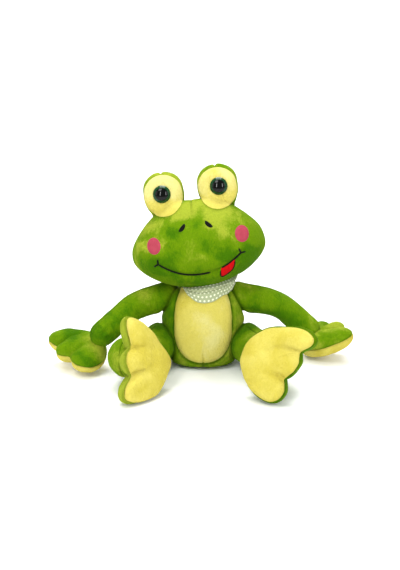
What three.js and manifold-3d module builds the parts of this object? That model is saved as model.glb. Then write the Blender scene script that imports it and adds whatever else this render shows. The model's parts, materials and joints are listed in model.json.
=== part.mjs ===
// A seated plush frog with a neckerchief, its arms out to the sides and its legs forward.
// Millimetres, +Z up. The frog faces -Y, so its own left side is +X.
// The origin is the middle of the flat seat that the frog sits on.
import * as THREE from "three";
import { ConvexGeometry } from "three/addons/geometries/ConvexGeometry.js";
import { mergeVertices } from "three/addons/utils/BufferGeometryUtils.js";
import Module from "manifold-3d";

const wasm = await Module();
wasm.setup();

const { degToRad } = THREE.MathUtils;
const point = (x, y, z) => new THREE.Vector3(x, y, z);

const facing = point(0, 1, 0);
const upright = point(0, 0, 1);

// Clearances
const seamGap = 0.4; // between two stitched pieces
const flexGap = 0.6; // between a limb and the piece that it bends against
const sliver = 0.2; // facets thinner than this are merged into their neighbours
const overrun = 60; // how far a cutting solid runs past what it cuts
const weld = 1e-3; // corners nearer than this are one corner

// Torso
const torsoRise = 106;
const torsoHalfWidth = 59;
const torsoHalfDepth = 50;
const torsoSquareness = 2.3;
const pressedFlat = 0.5; // how deep the stuffing is pressed flat where it rests
const bellyHalfWidth = 40;
const bellyHalfHeight = 51;
const bellyMiddle = 58;
const bellyThickness = 2;
const bellySquareness = 2.4;

// Neck: the torso's stuffed neck is a ball that the head's underside closes over
const neckRadius = 36;
const neckHeight = 100;
const neck = point(0, 0, neckHeight);
const neckTilt = [0, 10];

// Head, in its own frame: across, back and up from its middle
const headAcross = -6;
const headBack = -8;
const headHeight = 165;
const headMiddle = point(headAcross, headBack, headHeight);
const headRoll = 8.4;
const headPitch = 10;
const headHalfWidth = 92;
const headHalfDepth = 60;
const headUp = 65;
const headDown = 56;

// Eye stalks, in the head's frame
const stalkFoot = point(31, 3, 38);
const stalkTop = point(38.5, 3, 80);
const stalkFootRadius = 23;
const stalkTopRadius = 27;
const stalkFlatness = 0.72; // thickness as a share of width
const patchSeam = -5; // the yellow front is stitched to the green back here

// Plastic eyes, in the head's frame
const eyeAcross = 39;
const eyeUp = 77;
const eyeRadius = 12;
const eyeDome = 7;
const eyeRim = 1.6;
const shankRadius = 2.4;
const washerRadius = 8;
const washerThickness = 2;

// Stitched face
const trimThickness = 1.2;
const cheekAcross = { right: -58, left: 61 };
const cheekUp = 10;
const cheekHalfWidth = 9.4;
const cheekHalfHeight = 11.7;
const nostrilAcross = { right: -17.5, left: 19.5 };
const nostrilUp = 29.5;
const nostrilHalfLength = 5.8;
const nostrilHalfWidth = 2;
const nostrilSlant = 42;
const smileHalfWidth = 56;
const smileCorner = -15;
const smileDepth = 21;
const smileCurl = 2.2;
const stitchWidth = 1.8;
const tickLength = 4.5;
const tickLeans = [100, 10]; // each corner of the smile ends in two short ticks
const tongueWidth = 19;
const tongueLength = 13;
const tongueAcross = 36;
const longStitchEnd = 12; // the long stitch stops short of the tongue
const tongueSlip = 1.5; // its round end hangs a little towards the middle

// Arms: shoulder, elbow and wrist
const armRoot = 21;
const armMiddle = 18.5;
const wristRadius = 16.5;
const rightArm = [point(-50, 2, 90), point(-96, -21, 80), point(-139, -45, 48)];
const leftArm = [point(50, 2, 90), point(106, 8, 75.5), point(150, 10, 40)];
const shoulderRange = { right: [-3, 26], left: [-12, 35] }; // the right arm lies on its leg, under the head

// Hands, each with an outline like a foot's
const handReach = 60;
const rightHandShares = [
  [-170, 0.52], [-135, 0.5], [-105, 0.52], [-85, 0.58], [-70, 0.7], [-55, 0.78], [-41, 0.84],
  [-29, 0.81], [-18, 0.68], [-6, 0.57], [8, 0.63], [20, 0.67], [32, 0.62], [47, 0.55],
  [60, 0.7], [73, 0.84], [90, 0.92], [104, 0.88], [122, 0.77], [147, 0.62],
];
const leftHandShares = [
  [-180, 0.52], [-140, 0.52], [-115, 0.58], [-92, 0.64], [-75, 0.77], [-58, 0.87], [-45, 0.85],
  [-33, 0.7], [-22, 0.62], [-8, 0.7], [4, 0.72], [16, 0.65], [26, 0.58], [38, 0.64],
  [52, 0.75], [68, 0.75], [90, 0.64], [128, 0.54],
];
const backHalfThickness = 16;
const palmHalfThickness = 19;
const rightPalm = point(-169, -29, 26);
const leftPalm = point(167, 12, 22);
const rightHand = { middle: rightPalm, yaw: 198, pitch: 0, roll: -15 };
const leftHand = { middle: leftPalm, yaw: 25, pitch: -22, roll: -6 };
const wristRange = [-20, 20];

// Legs: hip and ankle
const legRoot = 28.5;
const legMiddle = 26;
const legEnd = 27;
const rightLeg = [point(-58, -15, 28.5), point(-79, -64, 28), point(-99, -110, 38)];
const leftLeg = [point(58, -15, 28.5), point(79, -69, 30), point(97, -122, 38)];
const hipRange = [-20, 15];

// Feet stand on edge, soles facing forwards, inwards and a little up.
// A foot's outline is a list of an angle from its toes' direction and the reach there.
const footReach = 67;
const rightFootShares = [
  [-173, 0.55], [-145, 0.51], [-120, 0.61], [-98, 0.78], [-80, 0.92], [-71, 0.84], [-60, 0.6],
  [-48, 0.49], [-30, 0.53], [-10, 0.54], [8, 0.53], [17, 0.52], [22, 0.63], [26, 0.85],
  [33, 0.98], [46, 0.91], [64, 0.8], [88, 0.68], [116, 0.58], [145, 0.57], [165, 0.6],
];
const leftFootShares = [
  [-171, 0.66], [-138, 0.63], [-108, 0.67], [-84, 0.73], [-66, 0.72], [-52, 0.63], [-43, 0.51],
  [-36, 0.43], [-22, 0.46], [-6, 0.52], [10, 0.59], [22, 0.62], [29, 0.67], [31, 0.9],
  [36, 1.01], [46, 0.98], [60, 0.87], [80, 0.73], [108, 0.67], [140, 0.65], [165, 0.66],
];
const soleHalfThickness = 14;
const upperHalfThickness = 23;
const rightFoot = { middle: point(-73, -139, 42), yaw: 230, lean: 20 };
const leftFoot = { middle: point(86, -161, 47), yaw: -34, lean: 20 };
const ankleRange = [-20, 8];

// Neckerchief
const scarfThickness = 2.4;
const scarfTip = 92; // the lowest point of its curved edge
const scarfCurve = 40; // that edge's radius
const scarfAcross = 4; // its middle lies a little to the frog's left
const rollRadius = 7; // the folded upper edge is a soft roll round the neck
const rollAcross = 6;
const rollHalfWidth = 35;
const rollHalfDepth = 37;
const rollHeight = 107;
const rollRise = 8; // it rises towards the frog's left, under the raised side of the head
const knotHeight = 101;
const knotHalfWidth = 11;
const knotHalfHeight = 8;
const tailLength = 34;
const tailHalfWidth = 9;
const tailHalfThickness = 2.2;
const tailSplay = 24;
const tailLean = 7; // the tails stand off the back a little
const knotMiddle = point(0, torsoHalfDepth + seamGap, knotHeight);

// Facets
const padFullness = 0.65; // how boxy a paw's section is, from 1 for round towards 0
const around = 24;
const capRings = 4;

// Colours
const fabric = (color) => new THREE.MeshStandardMaterial({ color, roughness: 0.95, metalness: 0 });
const greenPlush = fabric(0x7aa52a);
const yellowPlush = fabric(0xf0e27a);
const pinkThread = fabric(0xe05590);
const blackThread = fabric(0x14160f);
const redFelt = fabric(0xb8101c);
const dottedCotton = fabric(0xa9b8a0);
const eyePlastic = new THREE.MeshStandardMaterial({ color: 0x0a2a14, roughness: 0.08, metalness: 0 });
const washerPlastic = new THREE.MeshStandardMaterial({ color: 0xf2f2ee, roughness: 0.5, metalness: 0 });

// A closed skin over a stack of rings, each anticlockwise seen from the last pole.
function skin(rings, firstPole, lastPole) {
  const corners = [firstPole, ...rings.flat(), lastPole];
  const count = rings[0].length;
  const at = (ring, i) => 1 + ring * count + (i % count);
  const faces = [];
  for (let i = 0; i < count; i++) {
    faces.push(0, at(0, i + 1), at(0, i));
    for (let ring = 0; ring + 1 < rings.length; ring++) {
      faces.push(at(ring, i), at(ring, i + 1), at(ring + 1, i + 1));
      faces.push(at(ring, i), at(ring + 1, i + 1), at(ring + 1, i));
    }
    faces.push(corners.length - 1, at(rings.length - 1, i), at(rings.length - 1, i + 1));
  }
  return new THREE.BufferGeometry().setFromPoints(corners).setIndex(faces);
}

// A geometry as a solid, moved by a matrix if one is given.
function solid(geometry, matrix = new THREE.Matrix4()) {
  const flat = geometry.index ? geometry.toNonIndexed() : geometry;
  const bare = new THREE.BufferGeometry();
  bare.setAttribute("position", flat.getAttribute("position").clone());
  const welded = mergeVertices(bare.applyMatrix4(matrix), weld);
  return new wasm.Manifold(
    new wasm.Mesh({
      numProp: 3,
      vertProperties: welded.attributes.position.array,
      triVerts: new Uint32Array(welded.index.array),
    }),
  );
}

const ball = (centre, radius) =>
  solid(new THREE.SphereGeometry(radius, around, around / 2).translate(...centre.toArray()));

// A body pressed a little into the floor, and what is left of a body above the floor.
const floor = 0;
const sunk = (body) => body.translate(0, 0, -pressedFlat);
const aboveFloor = (body) => body.trimByPlane([0, 0, 1], floor).simplify(sliver);

// A matrix that turns about an axis through a pivot.
function turned(pivot, axis, degrees) {
  const there = new THREE.Matrix4().makeTranslation(...pivot.toArray());
  const turn = new THREE.Matrix4().makeRotationAxis(axis.clone().normalize(), degToRad(degrees));
  const back = new THREE.Matrix4().makeTranslation(...pivot.clone().negate().toArray());
  return there.multiply(turn).multiply(back);
}

// A body less the convex room that each of some other bodies sweeps as a joint moves.
function clearOf(body, movers, { pivot, axis, range }) {
  const steps = 4;
  let left = body;
  for (const mover of movers) {
    const { vertProperties } = mover.getMesh();
    const corners = Array.from({ length: vertProperties.length / 3 }, (_, i) =>
      point(...vertProperties.subarray(3 * i, 3 * i + 3)),
    );
    const swept = Array.from({ length: steps + 1 }, (_, i) => {
      const turn = turned(pivot, axis, THREE.MathUtils.lerp(range[0], range[1], i / steps));
      return corners.map((corner) => corner.clone().applyMatrix4(turn));
    });
    left = left.subtract(solid(new ConvexGeometry(swept.flat())).simplify(2 * sliver));
  }
  return left.simplify(sliver);
}

const opposite = ({ pivot, axis, range }) => ({ pivot, axis, range: [-range[1], -range[0]] });

// A stuffed tube through a few points, with round ends. Each radius belongs to one point.
function stuffedTube(route, radii, grow = 0, flatness = 1, across = null) {
  const curve = new THREE.CatmullRomCurve3(route, false, "centripetal");
  const swell = new THREE.CatmullRomCurve3(radii.map((r, i) => point(i, r, 0)));
  const steps = 6;
  const rings = [];
  const ring = (centre, along, radius) => {
    const up = across ? across.clone().cross(along).normalize() : point(0, 0, 1);
    up.addScaledVector(along, -up.dot(along)).normalize();
    const side = up.clone().cross(along);
    return Array.from({ length: around }, (_, i) => {
      const angle = (2 * Math.PI * i) / around;
      return centre
        .clone()
        .addScaledVector(side, radius * Math.cos(angle))
        .addScaledVector(up, radius * flatness * Math.sin(angle));
    });
  };
  const cap = (centre, along, radius, sign) => {
    for (let i = 1; i < capRings; i++) {
      const lean = (Math.PI / 2) * (sign < 0 ? 1 - i / capRings : i / capRings);
      const there = centre.clone().addScaledVector(along, sign * radius * Math.sin(lean));
      rings.push(ring(there, along, radius * Math.cos(lean)));
    }
  };
  const radiusAt = (t) => swell.getPoint(t).y + grow;
  const [start, end] = [0, 1].map((t) => [curve.getPoint(t), curve.getTangent(t), radiusAt(t)]);
  cap(...start, -1);
  for (let i = 0; i <= steps; i++) {
    const t = i / steps;
    rings.push(ring(curve.getPoint(t), curve.getTangent(t), radiusAt(t)));
  }
  cap(...end, 1);
  const tip = ([centre, along, radius], sign) => centre.clone().addScaledVector(along, sign * radius);
  return solid(skin(rings, tip(start, -1), tip(end, 1)));
}

// A stuffed paw, flat across Z, its middle digit along X, over an outline of angles and shares.
function pawPad(shares, reach, below, above) {
  const levels = 8;
  const count = 40;
  const corners = shares.map(([angle, share]) =>
    point(reach * share, 0, 0).applyAxisAngle(upright, degToRad(angle)),
  );
  const edge = new THREE.CatmullRomCurve3(corners, true, "catmullrom", 0.5);
  const rings = [];
  for (let level = 1; level < levels; level++) {
    const tilt = Math.PI * (level / levels - 0.5);
    const rise = (tilt < 0 ? below : above) * Math.sin(tilt);
    const inset = Math.cos(tilt) ** padFullness;
    rings.push(
      Array.from({ length: count }, (_, i) => edge.getPoint(i / count).multiplyScalar(inset).setZ(rise)),
    );
  }
  return skin(rings, point(0, 0, -below), point(0, 0, above));
}

// A solid of stacked superellipse rings, from a table of shares of its height, width and depth.
function stack(shares, size, squareness, grow = 0) {
  const round = (value, power) => Math.sign(value) * Math.abs(value) ** power;
  const profile = new THREE.CatmullRomCurve3(shares.map((row) => point(...row)));
  const levels = 14;
  const rings = [];
  for (let level = 0; level <= levels; level++) {
    const { x: height, y: wide, z: deep } = profile.getPoint(level / levels);
    rings.push(
      Array.from({ length: around + 8 }, (_, i) => {
        const angle = (2 * Math.PI * i) / (around + 8);
        return point(
          (size.halfWidth + grow) * wide * round(Math.cos(angle), 2 / squareness),
          (size.halfDepth + grow) * deep * round(Math.sin(angle), 2 / squareness),
          height < 0 ? height * (size.down + grow) : height * (size.up + grow),
        );
      }),
    );
  }
  const pole = (ring) => ring.reduce((sum, p) => sum.add(p), point(0, 0, 0)).divideScalar(ring.length);
  return skin(rings, pole(rings[0]), pole(rings.at(-1)));
}

// A flat outline as a prism that runs from the middle out of the front, along -Y.
function frontPrism(outline, reach = 2 * overrun) {
  const prism = new THREE.ExtrudeGeometry(new THREE.Shape(outline), { depth: reach, bevelEnabled: false });
  return prism.rotateX(Math.PI / 2);
}

// An oval outline, squarer as squareness passes 2.
function oval(across, up, halfWidth, halfHeight, squareness = 2, slant = 0, count = 32) {
  const round = (value) => Math.sign(value) * Math.abs(value) ** (2 / squareness);
  return Array.from({ length: count }, (_, i) => {
    const angle = (2 * Math.PI * i) / count;
    const corner = new THREE.Vector2(halfWidth * round(Math.cos(angle)), halfHeight * round(Math.sin(angle)));
    return corner.rotateAround(new THREE.Vector2(), degToRad(slant)).add(new THREE.Vector2(across, up));
  });
}

// Torso: it is stacked from the seat to the shoulders, with the neck's ball on top.
const torsoShares = [
  [-0.02, 0.62, 0.76],
  [0.01, 0.77, 0.87],
  [0.07, 0.9, 0.96],
  [0.2, 0.98, 1],
  [0.42, 1, 1],
  [0.62, 0.975, 0.95],
  [0.8, 0.91, 0.85],
  [0.92, 0.8, 0.74],
  [0.98, 0.66, 0.62],
  [1, 0.5, 0.5],
];
function torsoForms(grow = 0) {
  const size = { halfWidth: torsoHalfWidth, halfDepth: torsoHalfDepth, up: torsoRise, down: torsoRise };
  return [solid(stack(torsoShares, size, torsoSquareness, grow)), ball(neck, neckRadius + grow)].map(sunk);
}
const torsoForm = (grow) => torsoForms(grow).reduce((sum, form) => sum.add(form));

// Head: squat and wide, a little narrower towards the crown.
const headShares = [
  [-1, 0.16, 0.2],
  [-0.93, 0.36, 0.4],
  [-0.73, 0.67, 0.7],
  [-0.5, 0.875, 0.88],
  [-0.24, 0.985, 0.98],
  [0, 1, 1],
  [0.25, 0.945, 0.96],
  [0.5, 0.81, 0.85],
  [0.76, 0.6, 0.64],
  [0.93, 0.37, 0.4],
  [1, 0.16, 0.18],
];
const headPlace = new THREE.Matrix4()
  .makeTranslation(...headMiddle.toArray())
  .multiply(new THREE.Matrix4().makeRotationY(degToRad(-headRoll)))
  .multiply(new THREE.Matrix4().makeRotationX(degToRad(-headPitch)));
const inHead = (body) => body.transform(headPlace.toArray());
function headForm(grow = 0) {
  const size = { halfWidth: headHalfWidth, halfDepth: headHalfDepth, up: headUp, down: headDown };
  return solid(stack(headShares, size, 2, grow));
}

// Joints: where each turns, and about what
const levelAcross = ([from, , to]) => to.clone().sub(from).cross(upright).normalize();
const neckJoint = { pivot: neck, axis: facing, range: neckTilt };
const mirrored = (range) => [-range[1], -range[0]];
const limbs = {
  right: {
    arm: rightArm,
    hand: rightHand,
    handShares: rightHandShares,
    leg: rightLeg,
    foot: rightFoot,
    footShares: rightFootShares,
    shoulder: { pivot: rightArm[0], axis: facing, range: shoulderRange.right },
    wrist: { pivot: rightArm[2], axis: facing, range: wristRange },
    hip: { pivot: rightLeg[0], axis: levelAcross(rightLeg), range: hipRange },
    ankle: { pivot: rightLeg[2], axis: upright, range: ankleRange },
  },
  left: {
    arm: leftArm,
    hand: leftHand,
    handShares: leftHandShares,
    leg: leftLeg,
    foot: leftFoot,
    footShares: leftFootShares,
    shoulder: { pivot: leftArm[0], axis: facing, range: mirrored(shoulderRange.left) },
    wrist: { pivot: leftArm[2], axis: facing, range: mirrored(wristRange) },
    hip: { pivot: leftLeg[0], axis: levelAcross(leftLeg), range: hipRange },
    ankle: { pivot: leftLeg[2], axis: upright, range: mirrored(ankleRange) },
  },
};

const armForm = (side, grow = 0) => stuffedTube(side.arm, [armRoot, armMiddle, wristRadius], grow);
const legForm = (side, grow = 0) => sunk(stuffedTube(side.leg, [legRoot, legMiddle, legEnd], grow));

function handPlace({ middle, yaw, pitch, roll }) {
  const turn = new THREE.Euler(degToRad(roll), degToRad(pitch), degToRad(yaw), "ZYX");
  return new THREE.Matrix4().makeRotationFromEuler(turn).setPosition(middle);
}

// A foot's frame: X along its toes, Y up or down its width and Z out of its sole.
function footPlace({ middle, yaw, lean }) {
  const toes = point(1, 0, 0).applyAxisAngle(upright, degToRad(yaw));
  const sole = toes.clone().cross(upright).multiplyScalar(Math.sign(toes.x));
  const width = sole.clone().cross(toes);
  const frame = new THREE.Matrix4().makeBasis(toes, width, sole);
  return frame.multiply(new THREE.Matrix4().makeRotationX(degToRad(-lean * width.z))).setPosition(middle);
}

const group = new THREE.Group();
const pieces = new Map();
function piece(name, body, material, pivot) {
  const mesh = body.getMesh();
  const corners = new Float32Array(mesh.numVert * 3);
  for (let i = 0; i < mesh.numVert; i++) {
    corners.set(mesh.vertProperties.subarray(i * mesh.numProp, i * mesh.numProp + 3), i * 3);
  }
  const geometry = new THREE.BufferGeometry();
  geometry.setAttribute("position", new THREE.BufferAttribute(corners, 3));
  geometry.setIndex(new THREE.BufferAttribute(mesh.triVerts, 1));
  geometry.translate(...pivot.clone().negate().toArray());
  geometry.computeVertexNormals();
  const made = new THREE.Mesh(geometry, material);
  made.name = name;
  made.position.copy(pivot);
  group.add(made);
  pieces.set(name, made);
}

// Torso, with room for the limbs to bend and a shallow bed for the belly panel
const bellyPrism = (grow) =>
  solid(frontPrism(oval(0, bellyMiddle, bellyHalfWidth + grow, bellyHalfHeight + grow, bellySquareness)));
let torso = aboveFloor(torsoForm());
const bellyBed = bellyPrism(seamGap).subtract(torsoForm(-bellyThickness - seamGap));
let belly = torso.intersect(bellyPrism(0)).subtract(torsoForm(-bellyThickness));
torso = torso.subtract(bellyBed);
for (const side of Object.values(limbs)) {
  for (const [form, joint] of [
    [armForm(side, flexGap), side.shoulder],
    [legForm(side, flexGap), side.hip],
  ]) {
    torso = clearOf(torso, [form], joint);
    belly = clearOf(belly, [form], joint);
  }
}
piece("torso", torso, greenPlush, point(0, 0, 0));
piece("belly_panel", belly, yellowPlush, point(0, 0, 0));

// Head, cut by the torso at every tilt of the neck
const headShell = inHead(headForm());
const head = clearOf(headShell, torsoForms(flexGap), opposite(neckJoint));
piece("head", head, greenPlush, neck);

// Eye stalks: a green back and a yellow front, with the plastic eye clamped through the front
const headRoom = headForm(seamGap);
for (const [name, sign] of [
  ["right", -1],
  ["left", 1],
]) {
  const foot = point(sign * stalkFoot.x, stalkFoot.y, stalkFoot.z);
  const top = point(sign * stalkTop.x, stalkTop.y, stalkTop.z);
  const radii = [stalkFootRadius, stalkTopRadius];
  const stalk = stuffedTube([foot, top], radii, 0, stalkFlatness, point(1, 0, 0)).subtract(headRoom);
  const back = stalk.trimByPlane([0, 1, 0], patchSeam + seamGap / 2);
  let front = stalk.trimByPlane([0, -1, 0], -patchSeam + seamGap / 2);

  const face = stalkTop.y - stalkTopRadius * stalkFlatness; // the front of the stalk
  const seat = face + eyeRim;
  const cylinder = (radius, from, to) => {
    const upright = new THREE.CylinderGeometry(radius, radius, to - from, around);
    return solid(upright.translate(sign * eyeAcross, (from + to) / 2, eyeUp));
  };
  const washerFace = patchSeam - seamGap - washerThickness;
  front = front
    .subtract(cylinder(shankRadius + seamGap, face - overrun, patchSeam + overrun))
    .subtract(cylinder(eyeRadius + seamGap, face - overrun, seat))
    .subtract(cylinder(washerRadius + seamGap, washerFace - seamGap, patchSeam + overrun));
  piece(`eye_stalk_${name}`, inHead(back), greenPlush, neck);
  piece(`eye_patch_${name}`, inHead(front), yellowPlush, neck);

  const domeSteps = 6;
  const eyeProfile = [new THREE.Vector2(0, 0), new THREE.Vector2(eyeRadius, 0)];
  for (let i = 0; i <= domeSteps; i++) {
    const lean = ((Math.PI / 2) * i) / domeSteps;
    const rise = eyeRim + (eyeDome - eyeRim) * Math.sin(lean);
    eyeProfile.push(new THREE.Vector2(i < domeSteps ? eyeRadius * Math.cos(lean) : 0, rise));
  }
  const eyeBack = seat - seamGap;
  const dome = solid(
    new THREE.LatheGeometry(eyeProfile, around).rotateX(Math.PI).translate(sign * eyeAcross, eyeBack, eyeUp),
  );
  const shank = cylinder(shankRadius, eyeBack - eyeRim / 2, patchSeam - seamGap / 2);
  piece(`eye_${name}`, inHead(dome.add(shank)), eyePlastic, neck);
  const washer = cylinder(washerRadius, washerFace, patchSeam - seamGap).subtract(
    cylinder(shankRadius + seamGap, face, overrun),
  );
  piece(`eye_washer_${name}`, inHead(washer), washerPlastic, neck);
}

// Stitched face: thin pads that follow the head's front
const trimShell = headForm(seamGap + trimThickness).subtract(headRoom);
const trim = (prism) => inHead(trimShell.intersect(prism));
for (const [name, sign] of [
  ["right", -1],
  ["left", 1],
]) {
  const cheek = frontPrism(oval(cheekAcross[name], cheekUp, cheekHalfWidth, cheekHalfHeight, 2, 0, 20));
  piece(`cheek_${name}`, trim(solid(cheek)), pinkThread, neck);
  const slant = -sign * nostrilSlant;
  const nostril = frontPrism(
    oval(nostrilAcross[name], nostrilUp, nostrilHalfLength, nostrilHalfWidth, 2, slant, 12),
  );
  piece(`nostril_${name}`, trim(solid(nostril)), blackThread, neck);
}

// The smile is a stitched line, broken where the tongue hangs out
const smile = (across) => smileCorner - smileDepth * (1 - Math.abs(across / smileHalfWidth) ** smileCurl);
function strip(line, width) {
  const side = (offset) =>
    line.map((p, i) => {
      const along = (line[i + 1] ?? p).clone().sub(line[i - 1] ?? p).normalize();
      return new THREE.Vector2(p.x - along.y * offset, p.y + along.x * offset);
    });
  return solid(frontPrism([...side(-width / 2), ...side(width / 2).reverse()]));
}
const tickRootShare = 0.2; // how much of a tick lies inside the line
function smileStitch(from, to, cornerSign) {
  const steps = 14;
  const line = Array.from({ length: steps + 1 }, (_, i) => {
    const across = THREE.MathUtils.lerp(from, to, i / steps);
    return new THREE.Vector2(across, smile(across));
  });
  const corner = new THREE.Vector2(cornerSign * smileHalfWidth, smileCorner);
  let stitch = strip(line, stitchWidth);
  for (const lean of tickLeans) {
    const reach = new THREE.Vector2(tickLength, 0).rotateAround(new THREE.Vector2(), degToRad(lean));
    reach.x *= cornerSign;
    const root = corner.clone().addScaledVector(reach, -tickRootShare);
    stitch = stitch.add(strip([root, corner.clone().add(reach)], stitchWidth));
  }
  return stitch;
}
const tongueStart = tongueAcross - tongueWidth / 2;
const tongueEnd = tongueAcross + tongueWidth / 2;
piece("mouth_stitch_long", trim(smileStitch(-smileHalfWidth, longStitchEnd, -1)), blackThread, neck);
piece("mouth_stitch_short", trim(smileStitch(tongueEnd + seamGap, smileHalfWidth, 1)), blackThread, neck);
const tongueSteps = 12;
const tongueFullness = 0.6;
const tongueOutline = Array.from({ length: tongueSteps + 1 }, (_, i) => {
  const across = THREE.MathUtils.lerp(tongueEnd, tongueStart, i / tongueSteps);
  return new THREE.Vector2(across, smile(across));
});
for (let i = 1; i < tongueSteps; i++) {
  const angle = Math.PI + (Math.PI * i) / tongueSteps;
  const across = tongueAcross - tongueSlip + (tongueWidth / 2) * Math.cos(angle);
  const drop = tongueLength * Math.abs(Math.sin(angle)) ** tongueFullness;
  tongueOutline.push(new THREE.Vector2(across, smile(across) - drop));
}
piece("tongue", trim(solid(frontPrism(tongueOutline))), redFelt, neck);

// Arms, hands, legs and feet
const halves = (pad) => [
  pad.trimByPlane([0, 0, 1], seamGap / 2),
  pad.trimByPlane([0, 0, -1], seamGap / 2),
];
for (const [name, side] of Object.entries(limbs)) {
  const shoulder = side.shoulder.pivot;
  piece(`arm_${name}`, armForm(side), greenPlush, shoulder);
  const hand = solid(pawPad(side.handShares, handReach, palmHalfThickness, backHalfThickness));
  const handNames = ["hand_back", "palm"];
  halves(hand).forEach((half, i) => {
    let body = half.transform(handPlace(side.hand).toArray());
    body = clearOf(body, [armForm(side, flexGap)], opposite(side.wrist));
    const material = i ? yellowPlush : greenPlush;
    piece(`${handNames[i]}_${name}`, aboveFloor(body), material, side.wrist.pivot);
  });

  piece(`leg_${name}`, aboveFloor(legForm(side)), greenPlush, side.hip.pivot);
  const foot = solid(pawPad(side.footShares, footReach, upperHalfThickness, soleHalfThickness));
  const footNames = ["sole", "foot_upper"];
  halves(foot).forEach((half, i) => {
    let body = half.transform(footPlace(side.foot).toArray());
    body = clearOf(body, [legForm(side, flexGap)], opposite(side.ankle));
    piece(`${footNames[i]}_${name}`, aboveFloor(body), i ? greenPlush : yellowPlush, side.ankle.pivot);
  });
}

// Neckerchief: a band that lies on the shoulders and chest, lower in front, tied behind
const scarfShell = torsoForm(seamGap + scarfThickness).subtract(torsoForm(seamGap));
const edgeDrum = new THREE.CylinderGeometry(scarfCurve, scarfCurve, 2 * overrun, 2 * around);
edgeDrum.translate(scarfAcross, 0, scarfTip + scarfCurve);
const headRoomBelow = [inHead(headForm(flexGap))];
const rollLine = Array.from({ length: around }, (_, i) => {
  const angle = (2 * Math.PI * i) / around;
  const rise = rollRise * Math.cos(angle);
  const across = rollAcross + rollHalfWidth * Math.cos(angle);
  return point(across, rollHalfDepth * Math.sin(angle), rollHeight + rise);
});
const rollRoute = new THREE.CatmullRomCurve3(rollLine, true);
const roll = (grow) =>
  solid(new THREE.TubeGeometry(rollRoute, 1.5 * around, rollRadius + grow, around / 3, true));
const drape = scarfShell.intersect(solid(edgeDrum));
let scarf = drape.add(roll(0).subtract(torsoForm(seamGap))).simplify(2 * sliver);
scarf = clearOf(scarf, headRoomBelow, neckJoint);
for (const side of Object.values(limbs)) {
  scarf = clearOf(scarf, [armForm(side, flexGap)], side.shoulder);
}
piece("neckerchief", scarf, dottedCotton, neck);

let knot = solid(
  new THREE.SphereGeometry(1, around, around / 2)
    .scale(knotHalfWidth, knotHalfHeight, knotHalfHeight)
    .translate(...knotMiddle.toArray()),
);
for (const sign of [-1, 1]) {
  const tail = point(0, 0, -tailLength).applyAxisAngle(point(1, 0, 0), degToRad(tailLean));
  const tip = tail.applyAxisAngle(facing, degToRad(-tailSplay) * sign).add(knotMiddle);
  const flatness = tailHalfThickness / tailHalfWidth;
  const halfWidths = [tailHalfWidth / 2, tailHalfWidth];
  knot = knot.add(stuffedTube([knotMiddle, tip], halfWidths, 0, flatness, point(1, 0, 0)));
}
knot = knot.subtract(torsoForm(2 * seamGap + scarfThickness)).subtract(roll(seamGap)).simplify(sliver);
knot = clearOf(knot, headRoomBelow, neckJoint);
piece("neckerchief_knot", knot, dottedCotton, neck);

export default group;
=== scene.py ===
# %% [markdown]
# # A seated plush frog
# The toy is a set of stuffed cloth forms that were sewn together: a torso, a wide head with two eye stalks,
# long arms and legs, and webbed hands and feet. A plain solid model gives each form its place and its size.
# Here every form is made again with its seams, creases and pile, and it takes the place of its plain solid.

import json
import math

import bpy
import numpy as np
from mathutils import Matrix, Vector, noise
from mathutils.bvhtree import BVHTree

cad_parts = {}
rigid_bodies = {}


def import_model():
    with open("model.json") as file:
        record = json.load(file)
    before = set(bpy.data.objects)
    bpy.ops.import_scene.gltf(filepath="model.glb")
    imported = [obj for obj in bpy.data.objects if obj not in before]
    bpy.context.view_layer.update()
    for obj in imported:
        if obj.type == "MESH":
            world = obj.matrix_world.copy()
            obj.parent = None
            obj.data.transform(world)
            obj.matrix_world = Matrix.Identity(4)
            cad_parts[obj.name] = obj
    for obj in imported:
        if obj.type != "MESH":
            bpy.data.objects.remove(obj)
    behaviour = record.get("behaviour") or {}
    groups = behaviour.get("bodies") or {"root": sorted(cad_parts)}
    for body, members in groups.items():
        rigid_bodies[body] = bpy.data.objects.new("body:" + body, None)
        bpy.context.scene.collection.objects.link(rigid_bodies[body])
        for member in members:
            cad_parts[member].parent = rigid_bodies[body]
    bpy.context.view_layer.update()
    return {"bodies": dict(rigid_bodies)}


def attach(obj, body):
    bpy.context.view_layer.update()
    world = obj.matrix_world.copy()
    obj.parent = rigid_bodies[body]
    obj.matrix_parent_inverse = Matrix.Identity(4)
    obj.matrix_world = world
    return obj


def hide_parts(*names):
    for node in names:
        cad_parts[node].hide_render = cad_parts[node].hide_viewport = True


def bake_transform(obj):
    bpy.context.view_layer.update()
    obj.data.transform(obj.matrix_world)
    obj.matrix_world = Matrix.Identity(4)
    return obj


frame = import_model()
bpy.context.view_layer.update()
print("bodies:", sorted(frame["bodies"]))

# %% [markdown]
# Sewing patterns are thought of in millimetres, so lengths here are in millimetres, and each mesh is scaled to
# metres when it is made. A form is a stack of rings of points, joined by quads. This is how a loft works in any
# modelling program, and it keeps the faces even, so that a seam or a crease can be pressed in afterwards.

# %% Meshes from rings
MM = 0.001


def make_mesh(name, corners, faces):
    mesh = bpy.data.meshes.new(name)
    mesh.from_pydata([tuple(c) for c in np.asarray(corners) * MM], [], [list(f) for f in faces])
    mesh.validate()
    mesh.shade_smooth()
    piece = bpy.data.objects.new(name, mesh)
    bpy.context.scene.collection.objects.link(piece)
    return piece


def corners_of(piece):
    corners = np.empty(len(piece.data.vertices) * 3)
    piece.data.vertices.foreach_get("co", corners)
    return corners.reshape(-1, 3) / MM


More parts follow.
